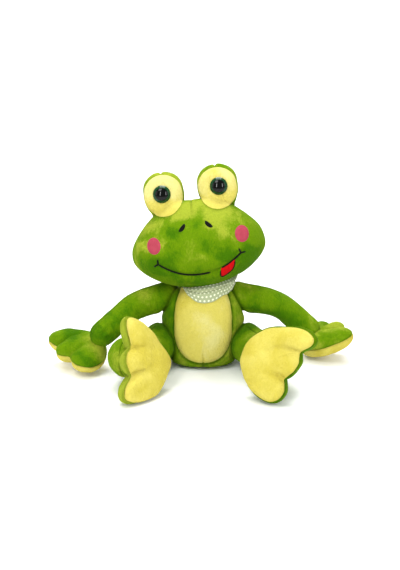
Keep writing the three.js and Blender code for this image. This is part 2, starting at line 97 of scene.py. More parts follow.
def closed_mesh(name, corners, faces):
    """A mesh whose faces look outwards, however they were wound."""
    piece = make_mesh(name, corners, faces)
    piece.data.calc_loop_triangles()
    triangles = np.array([triangle.vertices for triangle in piece.data.loop_triangles])
    a, b, c = corners_of(piece)[triangles].transpose(1, 0, 2)
    if (a * np.cross(b, c)).sum() < 0:
        piece.data.flip_normals()
    return piece


def quads(numbers):
    """Faces between rows of point numbers, where each row goes once round."""
    on = np.roll(numbers, -1, axis=1)
    return np.stack([numbers[:-1], on[:-1], on[1:], numbers[1:]], axis=-1).reshape(-1, 4).tolist()


def ring_faces(rings, around):
    """Quads between rings of points, and a fan to the single point before the first and after the last."""
    numbers = 1 + np.arange(rings * around).reshape(rings, around)
    low, high = ([*ring, ring[0]] for ring in numbers[[0, -1]].tolist())
    first = [(0, b, a) for a, b in zip(low, low[1:])]
    return first + quads(numbers) + [(numbers.size + 1, a, b) for a, b in zip(high, high[1:])]


def loft(name, rings):
    rings = np.asarray(rings, float)
    corners = np.vstack([rings[0].mean(0), rings.reshape(-1, 3), rings[-1].mean(0)])
    return closed_mesh(name, corners, ring_faces(len(rings), rings.shape[1]))


def circle(count):
    return np.linspace(0, 2 * np.pi, count, endpoint=False)


def unit(vectors):
    return vectors / np.linalg.norm(vectors, axis=-1, keepdims=True)


def through(rows, count):
    """Points on a smooth curve through the rows of a table."""
    rows = np.asarray(rows, float)
    padded = np.vstack([2 * rows[0] - rows[1], rows, 2 * rows[-1] - rows[-2]])
    t = np.linspace(0, len(rows) - 1, count)
    i = np.minimum(t.astype(int), len(rows) - 2)
    f = (t - i)[:, None]
    a, b, c, d = (padded[i + k] for k in range(4))
    return 0.5 * (2 * b + (c - a) * f + (2 * a - 5 * b + 4 * c - d) * f**2 + (3 * b - a - 3 * c + d) * f**3)


def closed_through(points, count):
    wrapped = np.vstack([points[-2:], points, points[:3]])
    per = count // len(points) + 1
    line = through(wrapped, (len(wrapped) - 1) * per + 1)
    return line[2 * per : (2 + len(points)) * per]


# %% [markdown]
# Stuffing is never even, and cloth puckers where it is sewn. Both are made by moving each point along its own
# normal. A smooth noise gives the lumps of the filling, and a narrow valley gives a seam. The same points always
# get the same noise, so the toy comes out alike each time.

# %% Press relief into a mesh
def move_to(piece, corners):
    piece.data.vertices.foreach_set("co", (corners * MM).ravel())
    piece.data.update()


def press(piece, heights):
    """Moves each point along its normal by its own height, in millimetres."""
    corners = corners_of(piece)
    normals = np.empty(corners.size)
    piece.data.update()
    piece.data.vertices.foreach_get("normal", normals)
    move_to(piece, corners + normals.reshape(-1, 3) * heights[:, None])


def rest_on_floor(piece):
    corners = corners_of(piece)
    corners[:, 2] = np.maximum(corners[:, 2], 0.0)
    move_to(piece, corners)


def lumps(corners, size, seed=0):
    """Smooth noise from about -1 to 1, whose lumps are about that many millimetres apart."""
    shift = Vector((seed * 7.3, seed * 3.1, seed * 5.7))
    return np.array([noise.noise(Vector(c) / size + shift) for c in corners])


def valley(distance, width):
    return np.exp(-((np.asarray(distance) / width) ** 2))


def ramp(low, high, value):
    t = np.clip((value - low) / (high - low), 0, 1)
    return t * t * (3 - 2 * t)


def shade(piece, pile_and_light, seam=0.0):
    """Keeps two shares at each point for the finish: how light the pile lies, with painted light and shade, and how
    much painted shade a seam gets.
    """
    count = len(piece.data.vertices)
    shares = np.column_stack([np.broadcast_to(pile_and_light, count), np.broadcast_to(np.clip(seam, 0, 1), count)])
    at = np.empty(len(piece.data.loops), int)
    piece.data.loops.foreach_get("vertex_index", at)
    layer = piece.data.uv_layers.new(name="shade")
    layer.data.foreach_set("uv", shares[at].ravel())


def spots(corners, places):
    """The sum of soft round spots, each a middle, a reach and a share."""
    gap = lambda middle: np.linalg.norm(corners - np.array(middle), axis=1)
    return sum(share * valley(gap(middle), reach) for middle, reach, share in places)


def near(corners, trees, reach):
    """1 where the points touch one of the forms, falling to 0 at about twice the reach away."""
    gaps = [[tree.find_nearest(Vector(c))[3] for tree in trees] for c in corners]
    return valley(np.min(gaps, axis=1), reach)


# %% [markdown]
# A surface finish is a sum of simple layers: noise for patches, fine noise for the pile, stripes for thread.
# Written as nodes by hand that is a long list of links, so one small class wraps a socket. Sums and products of
# wrapped sockets then add the Math nodes by themselves, and colours and vectors go through their own nodes.

# %% Shader maths
class Value:
    def __init__(self, finish, socket):
        self.finish, self.socket = finish, socket

    def maths(self, operation, *others, swap=False):
        inputs = dict(enumerate((others[0], self) if swap else (self, *others)))
        return self.finish.node("ShaderNodeMath", dict(operation=operation), inputs)["Value"]

    def __add__(self, other):
        return self.maths("ADD", other)

    def __sub__(self, other):
        return self.maths("SUBTRACT", other)

    def __rsub__(self, other):
        return self.maths("SUBTRACT", other, swap=True)

    def __mul__(self, other):
        return self.maths("MULTIPLY", other)

    def __truediv__(self, other):
        return self.maths("DIVIDE", other)

    __radd__ = __add__
    __rmul__ = __mul__

    def step(self, low, high):
        settings = dict(interpolation_type="SMOOTHSTEP")
        inputs = {"Value": self, "From Min": low, "From Max": high}
        return self.finish.node("ShaderNodeMapRange", settings, inputs)["Result"]


class Made:
    """A node that was made: its outputs by name or number."""

    def __init__(self, finish, node):
        self.finish, self.outputs = finish, node.outputs

    def __getitem__(self, name):
        return Value(self.finish, self.outputs[name])


class Finish:
    """A material. Its own shader is named at the start, with the settings that are the same all over."""

    def __init__(self, name, **settings):
        self.slot = name
        self.material = bpy.data.materials.new(f"{name}_finish")
        self.material.use_nodes = True
        self.nodes = self.material.node_tree.nodes
        self.links = self.material.node_tree.links
        self.nodes.clear()
        self.shader = self.nodes.new("ShaderNodeBsdfPrincipled")
        self.surface(**settings)
        output = self.nodes.new("ShaderNodeOutputMaterial")
        self.links.new(self.shader.outputs["BSDF"], output.inputs["Surface"])

    def put(self, node, inputs):
        for name, value in inputs.items():
            socket = node.inputs[name]
            if isinstance(value, Value):
                self.links.new(value.socket, socket)
            elif socket.type == "RGBA":
                socket.default_value = (*value[:3], 1)
            else:
                socket.default_value = value

    def node(self, kind, settings=None, inputs=None):
        node = self.nodes.new(kind)
        for name, value in (settings or {}).items():
            setattr(node, name, value)
        self.put(node, inputs or {})
        return Made(self, node)

    def place(self):
        return self.node("ShaderNodeTexCoord")["Object"]

    def stretched(self, scale, turn):
        inputs = {"Vector": self.place(), "Scale": scale, "Rotation": turn}
        return self.node("ShaderNodeMapping", {}, inputs)["Vector"]

    def noise(self, size, detail=2.0, roughness=0.5, distortion=0.0, at=None):
        """Noise from 0 to 1 whose patches are about that many millimetres apart."""
        inputs = {"Vector": at or self.place(), "Scale": 1 / (size * MM), "Detail": detail}
        inputs |= {"Roughness": roughness, "Distortion": distortion}
        return self.node("ShaderNodeTexNoise", {}, inputs)["Fac"]

    def mix(self, share, first, second):
        """Two colours mixed. The node has sockets of one name for each kind, so these go by number."""
        return self.node("ShaderNodeMix", dict(data_type="RGBA"), {0: share, 6: first, 7: second})[2]

    def bump(self, height, depth, strength):
        inputs = {"Height": height, "Distance": depth * MM, "Strength": strength}
        return self.node("ShaderNodeBump", {}, inputs)["Normal"]

    def surface(self, **inputs):
        self.put(self.shader, {key.replace("_", " "): value for key, value in inputs.items()})
        return self


def paint(red, green, blue):
    """A colour as a screen gives it, from 0 to 255, made linear for the shader."""
    linear = lambda c: c / 12.92 if c <= 0.04045 else ((c + 0.055) / 1.055) ** 2.4
    return tuple(linear(c / 255) for c in (red, green, blue))


# %% [markdown]
# The green cloth is a short plush whose pile lies this way here and that way there, so it looks light in some
# patches and dark in others. Two noises of different size, both a little distorted, pick between three greens,
# together with a share that was kept at each point: the lie of the pile, with painted light and shade. Finer noises
# are the tufts and the pile itself, and a second kept share paints shade in the seams and where forms meet. Sheen
# gives the pale edge that such cloth has where it turns away.

# %% Plush finishes
def plush(name, light, middle, dark, patch=44.0, contrast=0.2, depth=0.3):
    finish = Finish(name, Roughness=0.95, Sheen_Weight=0.15, Sheen_Roughness=0.4, Sheen_Tint=light)
    finish.surface(Specular_IOR_Level=0.06)
    kept = finish.node("ShaderNodeUVMap", dict(uv_map="shade"))["UV"]
    shares = finish.node("ShaderNodeSeparateXYZ", {}, {"Vector": kept})
    patches = finish.noise(patch, 2.0, 0.5, 0.7)
    strokes = finish.noise(patch / 9, 2.0, 0.6, 1.8, finish.stretched((1, 1, 0.45), (0, 0.6, 0)))
    # The kept share adds painted light and shade to the random patches of the pile.
    pile_and_light = patches * 0.76 + strokes * 0.24 + shares["X"] * contrast
    colour = finish.mix(pile_and_light.step(0.5 - contrast, 0.5), dark, middle)
    colour = finish.mix(pile_and_light.step(0.5, 0.5 + contrast), colour, light)
    pile = finish.noise(0.9, 2.0, 0.7)
    tufts = finish.noise(3.2, 2.0, 0.6, 0.8)
    deep = tuple(c * depth for c in dark)
    colour = finish.mix((pile - 0.5) * 0.5 + (tufts - 0.5) * 0.35 + 0.12, colour, deep)
    # Painted shade in the seams and where forms meet.
    colour = finish.mix(shares["Y"] * 0.8, colour, deep)
    normal = finish.bump(pile * 0.5 + tufts * 0.8 + strokes * 1.6, 1.2, 0.8)
    return finish.surface(Base_Color=colour, Normal=normal)


def dress(piece, finish, body, *nodes, fill=None):
    """Gives a piece its finish, its body and the plain solids that it stands for. The fill, how full it is, is not
    used.
    """
    piece.data.materials.append(finish.material)
    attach(piece, body)
    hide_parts(*nodes)


green_plush = plush("green_plush", paint(152, 166, 46), paint(97, 133, 4), paint(62, 108, 0))
yellows = paint(218, 210, 134), paint(208, 196, 94), paint(192, 178, 68)
yellow_plush = plush("yellow_plush", *yellows, patch=40.0, contrast=0.3, depth=0.55)
print("plush finishes:", green_plush.material.name, yellow_plush.material.name)

# %% [markdown]
# The camera stands where the photographer stood: a little above the toy, looking down by fifteen degrees. Its
# distance and its lens come from the size of the toy and the share of the picture that it fills.

# %% Camera
CAMERA_TILT = 15.0
CAMERA_DISTANCE = 1500.0
AIM = np.array([-4.2, 0.0, 106.7])
PICTURE_HEIGHT = 570
FOCAL_PIXELS = 1071.0
SENSOR = 36.0

tilt = math.radians(CAMERA_TILT)
backwards = np.array([0.0, -math.cos(tilt), math.sin(tilt)])
camera = bpy.data.objects.new("camera", bpy.data.cameras.new("camera"))
bpy.context.scene.collection.objects.link(camera)
camera.data.sensor_fit = "VERTICAL"
camera.data.sensor_height = SENSOR
camera.data.lens = FOCAL_PIXELS / PICTURE_HEIGHT * SENSOR
camera.location = Vector((AIM + backwards * CAMERA_DISTANCE) * MM)
camera.rotation_euler = (math.pi / 2 - tilt, 0, 0)
bpy.context.scene.camera = camera
print("lens:", round(camera.data.lens, 1), "mm")

# %% [markdown]
# The torso is one stuffed shell, wide at the hips and narrower at the shoulders, and its seat is pressed flat by
# the toy's weight. A table gives its width and depth at each height, and a squarish oval is the cross-section.
# It goes on upwards as the stuffed neck, which the head and the neckerchief hide.

# %% Torso
TORSO_HALF_WIDTH = 59.0
TORSO_HALF_DEPTH = 50.0
TORSO_RISE = 106.0
TORSO_SQUARENESS = 2.3
PRESSED_FLAT = 0.5
NECK = np.array([0.0, 0.0, 100.0])
NECK_RADIUS = 36.0
BELLY_HALF_WIDTH = 40.0
BELLY_HALF_HEIGHT = 51.0
BELLY_MIDDLE = 58.0
BELLY_SQUARENESS = 2.4
BELLY_TOP_HALF_HEIGHT = 60.0  # above its middle the panel runs on under the neckerchief, and is squarer
BELLY_TOP_SQUARENESS = 2.8
DART_ACROSS = 0.5
TORSO_TABLE = [  # shares of its rise, its half width and its half depth
    (-0.02, 0.62, 0.76), (0.01, 0.77, 0.87), (0.07, 0.9, 0.96), (0.2, 0.98, 1.0), (0.42, 1.0, 1.0),
    (0.62, 0.975, 0.95), (0.8, 0.91, 0.85), (0.92, 0.8, 0.74), (0.98, 0.66, 0.62), (1.0, 0.5, 0.5),
]


def rounded(value, squareness):
    return np.sign(value) * np.abs(value) ** (2 / squareness)


def squarish(half_width, half_height, squareness, count):
    angle = circle(count)
    across, up = rounded(np.cos(angle), squareness), rounded(np.sin(angle), squareness)
    return np.column_stack([half_width * across, half_height * up])


def squarish_ring(half_width, half_depth, height, squareness, around):
    return np.column_stack([squarish(half_width, half_depth, squareness, around), np.full(around, height)])


def torso_rings(around=144, levels=86):
    rings = []
    for height, wide, deep in through(TORSO_TABLE, levels) * (TORSO_RISE, TORSO_HALF_WIDTH, TORSO_HALF_DEPTH):
        rings.append(squarish_ring(wide, deep, max(height - PRESSED_FLAT, 0.0), TORSO_SQUARENESS, around))
    for z in np.linspace(TORSO_RISE + 1, NECK[2] + NECK_RADIUS - 1, 14):
        radius = math.sqrt(NECK_RADIUS**2 - (z - NECK[2]) ** 2)
        rings.append(squarish_ring(radius, radius, z, 2.0, around))
    return rings


def belly_reach(corners):
    """1 on the edge of the belly panel, less inside it and more outside."""
    upper = corners[:, 2] > BELLY_MIDDLE
    half_height = np.where(upper, BELLY_TOP_HALF_HEIGHT, BELLY_HALF_HEIGHT)
    power = np.where(upper, BELLY_TOP_SQUARENESS, BELLY_SQUARENESS)
    across = np.abs(corners[:, 0]) / BELLY_HALF_WIDTH
    up = np.abs(corners[:, 2] - BELLY_MIDDLE) / half_height
    return (across**power + up**power) ** (1 / power)


def torso_seams(corners, width):
    """The seams down the sides and down the back, that wide."""
    sides = valley(corners[:, 1] - 4, width) * ramp(20, 30, np.abs(corners[:, 0]))
    return sides, valley(corners[:, 0], width) * ramp(0, 20, corners[:, 1])


def torso_relief(corners):
    front = ramp(0, -20, corners[:, 1])
    sides, back = torso_seams(corners, 1.5)
    round_belly = front * valley((belly_reach(corners) - 1) * BELLY_HALF_WIDTH, 2.6)
    soft = lumps(corners, 30, 1) * 1.1 + lumps(corners, 13, 2) * 0.4
    return ramp(0, 9, corners[:, 2]) * (soft - round_belly * 2.0 - sides * 0.7 - back * 0.8)


# Painted shade round the belly panel, in the notch under it and along the side and back seams.
def torso_shade(corners):
    front = ramp(0, -20, corners[:, 1])
    sides, back = torso_seams(corners, 1.2)
    round_belly = valley((belly_reach(corners) - 1.03) * BELLY_HALF_WIDTH, 1.2) * front
    notch = valley(corners[:, 0] - DART_ACROSS, 2.4) * ramp(12, 8, corners[:, 2]) * front * 1.25
    return np.maximum.reduce([round_belly, notch, sides * 0.7, back * 0.7])


torso = loft("torso_shell", torso_rings())
torso_seam_shade = torso_shade(corners_of(torso))
press(torso, torso_relief(corners_of(torso)))
dress(torso, green_plush, "torso", "torso", fill=0.85)
print("torso:", len(torso.data.vertices), "points")

# %% [markdown]
# Many parts of the toy are sewn on top of a form: the belly panel, the cheeks, the nostrils and the tongue. Each
# is drawn flat, as on a pattern, and then laid on the finished form by casting rays at it. That way it follows
# every lump, and its edge sinks into the form as a sewn edge does.

# %% Lay a patch on a form
def target(piece):
    corners = [Vector(c) for c in corners_of(piece)]
    return BVHTree.FromPolygons(corners, [tuple(face.vertices) for face in piece.data.polygons])


def laid_on(tree, place, flat_points):
    """Points and normals where rays along a frame's own depth, from its front, meet the form."""
    found = []
    turn = place.to_3x3()
    for across, up in flat_points:
        start = place @ Vector((across, -200, up))
        hit, normal, _, _ = tree.ray_cast(start, turn @ Vector((0, 1, 0)))
        found.append((np.array(hit), np.array(normal)) if hit else (np.full(3, np.nan),) * 2)
    return np.array([hit for hit, _ in found]), np.array([normal for _, normal in found])


def laid_patch(name, tree, place, outline, middle, crown, sink=0.8, thickness=1.6, rings=10, power=3.0):
    """A closed patch. Outline points come in order round the middle, and crown is its height there."""
    outline, middle = np.asarray(outline, float), np.asarray(middle, float)
    shares = np.linspace(0, 1, rings + 1)[1:]
    flat = np.vstack([middle] + [middle + (outline - middle) * share for share in shares])
    share = np.concatenate([[0.0], np.repeat(shares, len(outline))])
    hits, normals = laid_on(tree, place, flat)
    top = hits + normals * (crown * (1 - share**power) - sink * share**power)[:, None]
    under = hits - normals * (thickness + sink)
    under_rings = under[1:].reshape(rings, -1, 3)[::-1].reshape(-1, 3)
    return closed_mesh(name, np.vstack([top, under_rings, under[:1]]), ring_faces(2 * rings, len(outline)))


def oval(across, up, half_width, half_height, squareness=2.0, slant=0.0, count=72, upper=1.0):
    x, z = squarish(half_width, half_height, squareness, count).T
    z = np.where(z > 0, z * upper, z)
    c, s = math.cos(math.radians(slant)), math.sin(math.radians(slant))
    return np.column_stack([across + c * x - s * z, up + s * x + c * z])


# %% [markdown]
# The belly is a squarish oval of yellow plush that was let into the torso. A short seam runs up the middle of its
# lower end, where the panel was darted to make it round, and below it painted shade makes a dark notch, where
# there is a small gap in the stitches.

# %% Belly panel
lower_half = oval(0, BELLY_MIDDLE, BELLY_HALF_WIDTH, BELLY_HALF_HEIGHT, BELLY_SQUARENESS, count=160)
upper_half = oval(0, BELLY_MIDDLE, BELLY_HALF_WIDTH, BELLY_TOP_HALF_HEIGHT, BELLY_TOP_SQUARENESS, count=160)
belly = laid_patch(
    "belly_plush",
    target(torso),
    Matrix.Identity(4),
    np.where(lower_half[:, 1:] > BELLY_MIDDLE, upper_half, lower_half),
    (0, BELLY_MIDDLE),
    crown=1.6,
    sink=0.4,
    rings=36,
    power=14.0,
)


def belly_relief(corners):
    dart = valley(corners[:, 0] - DART_ACROSS, 1.3) * ramp(30, 12, corners[:, 2]) * 1.3
    inside = ramp(1.02, 0.9, belly_reach(corners)) * (corners[:, 1] < -20)
    return (lumps(corners, 24, 3) * 0.5 - dart) * inside


belly_corners = corners_of(belly)
# Painted shade along the dart seam.
belly_dart_shade = valley(belly_corners[:, 0] - DART_ACROSS, 0.8) * ramp(36, 16, belly_corners[:, 2])
press(belly, belly_relief(belly_corners))
# Painted shade near the upper edge on the toy's right, and painted light in the middle of the panel.
belly_light_and_shade = spots(belly_corners, [((-36, -40, 85), 22, -1.0), ((10, -50, 50), 26, 0.5)])
shade(belly, belly_light_and_shade, belly_dart_shade * 0.7)
dress(belly, yellow_plush, "torso", "belly_panel", fill=0.8)
print("belly:", len(belly.data.vertices), "points")

# %% [markdown]
# The head is one wide stuffed shell that leans to the toy's right. It is drawn in its own frame (across, back and
# up from its middle), and a matrix tips it into place. The muzzle has soft cheeks, a shallow hollow along the
# smile where the stitches pull the cloth in, and a short seam at the crown.

# %% Head
HEAD_MIDDLE = (-6.0, -8.0, 165.0)
HEAD_ROLL = 8.4
HEAD_PITCH = 10.0
HEAD_HALF_WIDTH = 92.0
HEAD_HALF_DEPTH = 60.0
HEAD_UP = 65.0
HEAD_DOWN = 56.0
HEAD_TABLE = [  # shares of its height up or down, its half width and its half depth
    (-1, 0.16, 0.2), (-0.93, 0.36, 0.4), (-0.73, 0.67, 0.7), (-0.5, 0.875, 0.88), (-0.24, 0.985, 0.98),
    (0, 1, 1), (0.25, 0.945, 0.96), (0.5, 0.81, 0.85), (0.76, 0.6, 0.64), (0.93, 0.37, 0.4), (1, 0.16, 0.18),
]
SMILE_HALF_WIDTH = 56.0
SMILE_CORNER = -15.0
SMILE_DEPTH = 21.0
SMILE_CURL = 2.2
STALK_ACROSS = 37.5
STALK_SEAM_UP = 74.0  # where a stalk's yellow front meets the head, the seam is a part of an oval
STALK_SEAM_HALF = (25.0, 27.4)
head_place = (
    Matrix.Translation(HEAD_MIDDLE)
    @ Matrix.Rotation(math.radians(-HEAD_ROLL), 4, "Y")
    @ Matrix.Rotation(math.radians(-HEAD_PITCH), 4, "X")
)


def placed(corners, place):
    turn = np.array(place.to_3x3())
    return np.asarray(corners) @ turn.T + np.array(place.translation)


def unplaced(corners, place):
    return placed(corners, place.inverted())


def smile_height(across):
    return SMILE_CORNER - SMILE_DEPTH * (1 - np.abs(np.asarray(across) / SMILE_HALF_WIDTH) ** SMILE_CURL)


def head_rings(around=176, levels=110):
    table = through(HEAD_TABLE, 400)
    lean = np.linspace(-0.5, 0.5, levels) * math.pi
    heights = np.sin(lean * 0.985)
    wide = HEAD_HALF_WIDTH * np.interp(heights, table[:, 0], table[:, 1])
    deep = HEAD_HALF_DEPTH * np.interp(heights, table[:, 0], table[:, 2])
    heights = heights * np.where(heights > 0, HEAD_UP, HEAD_DOWN)
    return [squarish_ring(w, d, h, 2.0, around) for w, d, h in zip(wide, deep, heights)]


def head_relief(corners):
    x, y, z = unplaced(corners, head_place).T
    front = ramp(5, -25, y)
    smile = valley(z - smile_height(x), 3.2) * ramp(62, 52, np.abs(x)) * front
    lip = valley(z - smile_height(x) + 11, 7) * ramp(50, 20, np.abs(x)) * front
    cheek = valley(np.hypot(np.abs(x) - 62, z + 2), 22) * front
    crown = valley(x + 1.0, 1.7) * (ramp(38, 48, z) * front + ramp(-20, 20, z) * ramp(-5, 10, y))
    crown_dip = valley(x, 14) * ramp(45, 62, z)
    soft = lumps(corners, 34, 4) * 1.2 + lumps(corners, 14, 5) * 0.4
    return soft + cheek * 2.0 + lip * 1.4 - smile * 2.0 - crown * 1.3 - crown_dip * 1.0


# The spots are patches of the pile, together with painted shade low on the cheeks and the chin.
HEAD_PILE_AND_SHADE_SPOTS = [  # middles and reaches in the head's own frame, and how light the pile lies there
    ((3, -45, 52), 26, 0.8), ((46, -40, 40), 24, 0.7), ((-44, -40, 42), 22, 0.4), ((-78, -25, 12), 20, 0.7),
    ((36, -55, 18), 9, 0.7), ((-20, -58, 8), 15, 0.4), ((76, -28, 14), 20, 0.7), ((14, -59, 5), 13, -0.9),
    ((4, -52, 31), 9, -0.7), ((-31, -50, 28), 11, -0.7), ((-64, -38, -16), 20, -1.0), ((38, -52, -16), 14, -0.6),
    ((68, -34, -26), 20, -1.0), ((-20, -45, -42), 18, 0.4), ((30, -40, -46), 22, -0.3),
]


# Painted shade in the crown seam, along the smile and round the foot of each yellow stalk front.
def head_shade(corners):
    x, y, z = unplaced(corners, head_place).T
    front = ramp(5, -25, y)
    crown = valley(x + 1.0, 0.9) * (ramp(42, 48, z) * front + ramp(-20, 20, z) * ramp(-5, 10, y))
    smile = valley(z - smile_height(x), 2.4) * ramp(60, 54, np.abs(x)) * front * 0.4
    from_stalk = np.column_stack([np.abs(x) - STALK_ACROSS, z - STALK_SEAM_UP]) / STALK_SEAM_HALF
    stalks = valley(np.linalg.norm(from_stalk, axis=1) - 1.02, 0.07) * ramp(68, 62, z) * front
    return np.maximum.reduce([crown * 0.6, smile, stalks * 0.6])


def on_head(name, rings):
    """A closed form from rings that are given in the head's own frame."""
    return loft(name, [placed(ring, head_place) for ring in rings])


head = on_head("head_shell", head_rings())
own = unplaced(corners_of(head), head_place)
# Painted light towards the top of the head and painted shade below, together with the spots.
head_pile_and_light = spots(own, HEAD_PILE_AND_SHADE_SPOTS) + 0.3 * ramp(10, 60, own[:, 2]) - 0.5 * ramp(-10, -50, own[:, 2])
head_seam_shade = head_shade(corners_of(head))
press(head, head_relief(corners_of(head)))
shade(head, head_pile_and_light, head_seam_shade)
dress(head, green_plush, "head", "head", fill=0.9)
head_skin = target(head)
print("head:", len(head.data.vertices), "points")

# %% [markdown]
# Each eye stands on a flat stuffed stalk: a green back that wraps round to the front as a thin rim, and a yellow
# front that was sewn inside the rim. Both are the same outline, one smaller than the other, blown up like a
# pillow. The outline dips a little at the top, where the two cloths were gathered.

# %% Eye stalks
STALK_UP = 76.0
STALK_MIDDLE_DEPTH = 3.0
STALK_HALF_DEPTH = 19.0
STALK_TABLE = [  # across from its middle, and up in the head's frame, from the dip at the top to the foot
    (0, 105.5), (3.5, 107.6), (11.5, 106), (20.5, 100.5), (26.6, 91), (28.3, 79),
    (27.4, 68), (24, 59), (20, 51), (17, 40), (0, 34),
]
PATCH_TABLE = [
    (0, 103), (9, 101.6), (17.8, 96.6), (24, 88.5), (26.3, 79),
    (25.8, 68.5), (23, 60.5), (18, 54), (10.5, 48.6), (0, 46.6),
]
PATCH_DEPTH = -8.5
BEND_SOFTNESS = 5.0  # how softly the front bends where it leaves the stalk for the head
SIDES = {"right": -1, "left": 1}


def both_sides(rows, sign, count=128):
    """A closed outline from the table of one half."""
    half = np.array(rows, float)
    whole = np.vstack([half, half[-2:0:-1] * (-1, 1)]) + (STALK_ACROSS, 0)
    return closed_through(whole * (sign, 1), count)


def upright(flat, depth):
    """Points from their places across and up, at that depth."""
    return np.column_stack([flat[:, 0], np.broadcast_to(depth, len(flat)), flat[:, 1]])


def pillow(outline, middle, front, back, depth_middle, rings=18, fullness=2.6):
    """Rings of a pillow over an outline: from its front middle, round its edge, to its back middle."""
    stack = []
    for lean in np.linspace(-90, 90, 2 * rings + 1)[1:-1]:
        share = math.cos(math.radians(lean)) ** (2 / fullness)
        rise = math.sin(math.radians(lean))
        depth = depth_middle + (back if rise > 0 else front) * rise
        stack.append(upright(middle + (outline - middle) * share, depth))
    return stack


def over_head(ring, lift):
    """Lays the part of a ring that would be inside the head on the head's skin, a little proud of it."""
    flat = ring[:, [0, 2]]
    hits, _ = laid_on(head_skin, head_place, flat)
    limit = np.nan_to_num(unplaced(hits, head_place)[:, 1] - lift, nan=60.0)
    return upright(flat, -BEND_SOFTNESS * np.logaddexp(-ring[:, 1] / BEND_SOFTNESS, -limit / BEND_SOFTNESS))


for side, sign in SIDES.items():
    middle = np.array([STALK_ACROSS * sign, STALK_UP])
    outline = both_sides(STALK_TABLE, sign)
    rings = pillow(outline, middle, STALK_HALF_DEPTH - 5, STALK_HALF_DEPTH + 2, STALK_MIDDLE_DEPTH)
    stalk = on_head(f"stalk_{side}", rings)
    press(stalk, lumps(corners_of(stalk), 16, 6) * 0.7)
    # Painted shade where the stalk meets the head.
    shade(stalk, 0.6, near(corners_of(stalk), [head_skin], 2.5) * 0.7)
    dress(stalk, green_plush, "head", f"eye_stalk_{side}", fill=0.8)

    rings = pillow(both_sides(PATCH_TABLE, sign), middle, 9.0, 6.0, PATCH_DEPTH, fullness=3.4)
    rings = [over_head(ring, 1.6 * ramp(17, 9, i) if i < 17 else -1.0) for i, ring in enumerate(rings)]
    patch = on_head(f"stalk_front_{side}", rings)
    press(patch, lumps(corners_of(patch), 14, 7) * 0.5)
    # Painted light towards the top of the yellow front and painted shade below.
    shade(patch, 1.2 * ramp(40, 95, unplaced(corners_of(patch), head_place)[:, 2]) - 0.45)
    dress(patch, yellow_plush, "head", f"eye_patch_{side}", fill=0.8)
print("eye stalks made")

# %% [markdown]
# A plastic eye is a dome with a thin flange, moulded clear over a dark green ring and a black pupil. The ring and
# the pupil are told apart by their distance from the eye's own middle. The cloth dips where the eye pulls on it.

# %% Plastic eyes
EYE_ACROSS = 39.0
EYE_UP = 77.0
EYE_RADIUS = 12.0
EYE_DOME = 7.0
EYE_FLANGE = 1.4
PUPIL_REACH = 9.56
EYE_DEPTH = -17.6  # where the flange's back lies, in the head's frame


def eye_finish(name, middle):
    finish = Finish(name, Roughness=0.04, IOR=1.5, Specular_IOR_Level=0.22)
    finish.slot = "eye_plastic"
    inputs = {0: finish.place(), 1: tuple(np.array(middle) * MM)}
    reach = finish.node("ShaderNodeVectorMath", dict(operation="DISTANCE"), inputs)["Value"]
    ring = reach.step(PUPIL_REACH * MM, (PUPIL_REACH + 1) * MM)
    grain = finish.noise(1.5, 2.0)
    green = finish.mix(grain, paint(6, 44, 20), paint(12, 70, 36))
    return finish.surface(Base_Color=finish.mix(ring, paint(3, 4, 3), green))


def eye_profile():
    """Radius and rise from the flange's back, round its edge and up the dome."""
    edge = [(1.6, 0.0), (0.3, 0.0), (0.0, 0.4), (0.0, EYE_FLANGE - 0.2)]
    flange = [(EYE_RADIUS - inwards, rise) for inwards, rise in edge]
    lean = np.radians(np.linspace(0, 90, 14)[:-1])
    dome = [(EYE_RADIUS - 0.9) * np.cos(lean), EYE_FLANGE + (EYE_DOME - EYE_FLANGE) * np.sin(lean)]
    return [*flange, *zip(*dome)]


for side, sign in SIDES.items():
    across = sign * EYE_ACROSS
    ring = lambda radius, rise: upright(oval(across, EYE_UP, radius, radius, count=64), EYE_DEPTH - rise)
    eye = on_head(f"eye_dome_{side}", [ring(*row) for row in eye_profile()])
    middle = placed([(across, EYE_DEPTH, EYE_UP)], head_place)[0]
    dress(eye, eye_finish(f"eye_plastic_{side}", middle), "head", f"eye_{side}")
print("eyes made")

# %% [markdown]
# The face is stitched. Thread in close rows fills the cheeks and the nostrils, so they stand a little proud and
# have a fine ribbed shine. Thread is a finish of narrow stripes, warped a little, because no row is quite straight.

# %% Thread and felt finishes
WAVES_PER_UNIT = 0.314  # the wave node's scale for one row a metre


def thread(name, light, dark, row):
    """Rows of thread that many millimetres apart."""
    finish = Finish(name, Roughness=0.55, Sheen_Weight=0.1, Sheen_Roughness=0.3, Sheen_Tint=light)
    finish.surface(Specular_IOR_Level=0.1)
    inputs = {"Vector": finish.place(), "Scale": WAVES_PER_UNIT / (row * MM)}
    inputs |= {"Distortion": 1.6, "Detail": 2.0, "Detail Scale": 1.4}
    rows = finish.node("ShaderNodeTexWave", dict(wave_type="BANDS", bands_direction="X"), inputs)["Fac"]
    wear = finish.noise(6, 3.0)
    colour = finish.mix(rows * 0.55 + wear * 0.35, dark, light)
    return finish.surface(Base_Color=colour, Normal=finish.bump(rows + wear * 0.3, 0.35, 0.6))


def felt(name, light, dark):
    finish = Finish(name, Roughness=0.95, Sheen_Weight=0.08, Sheen_Roughness=0.5, Sheen_Tint=light)
    finish.surface(Specular_IOR_Level=0.1)
    fibres = finish.noise(0.8, 3.0, 0.7, 0.5)
    wear = finish.noise(7, 3.0)
    colour = finish.mix(wear * 0.6 + fibres * 0.4, dark, light)
    return finish.surface(Base_Color=colour, Normal=finish.bump(fibres, 0.3, 0.6))


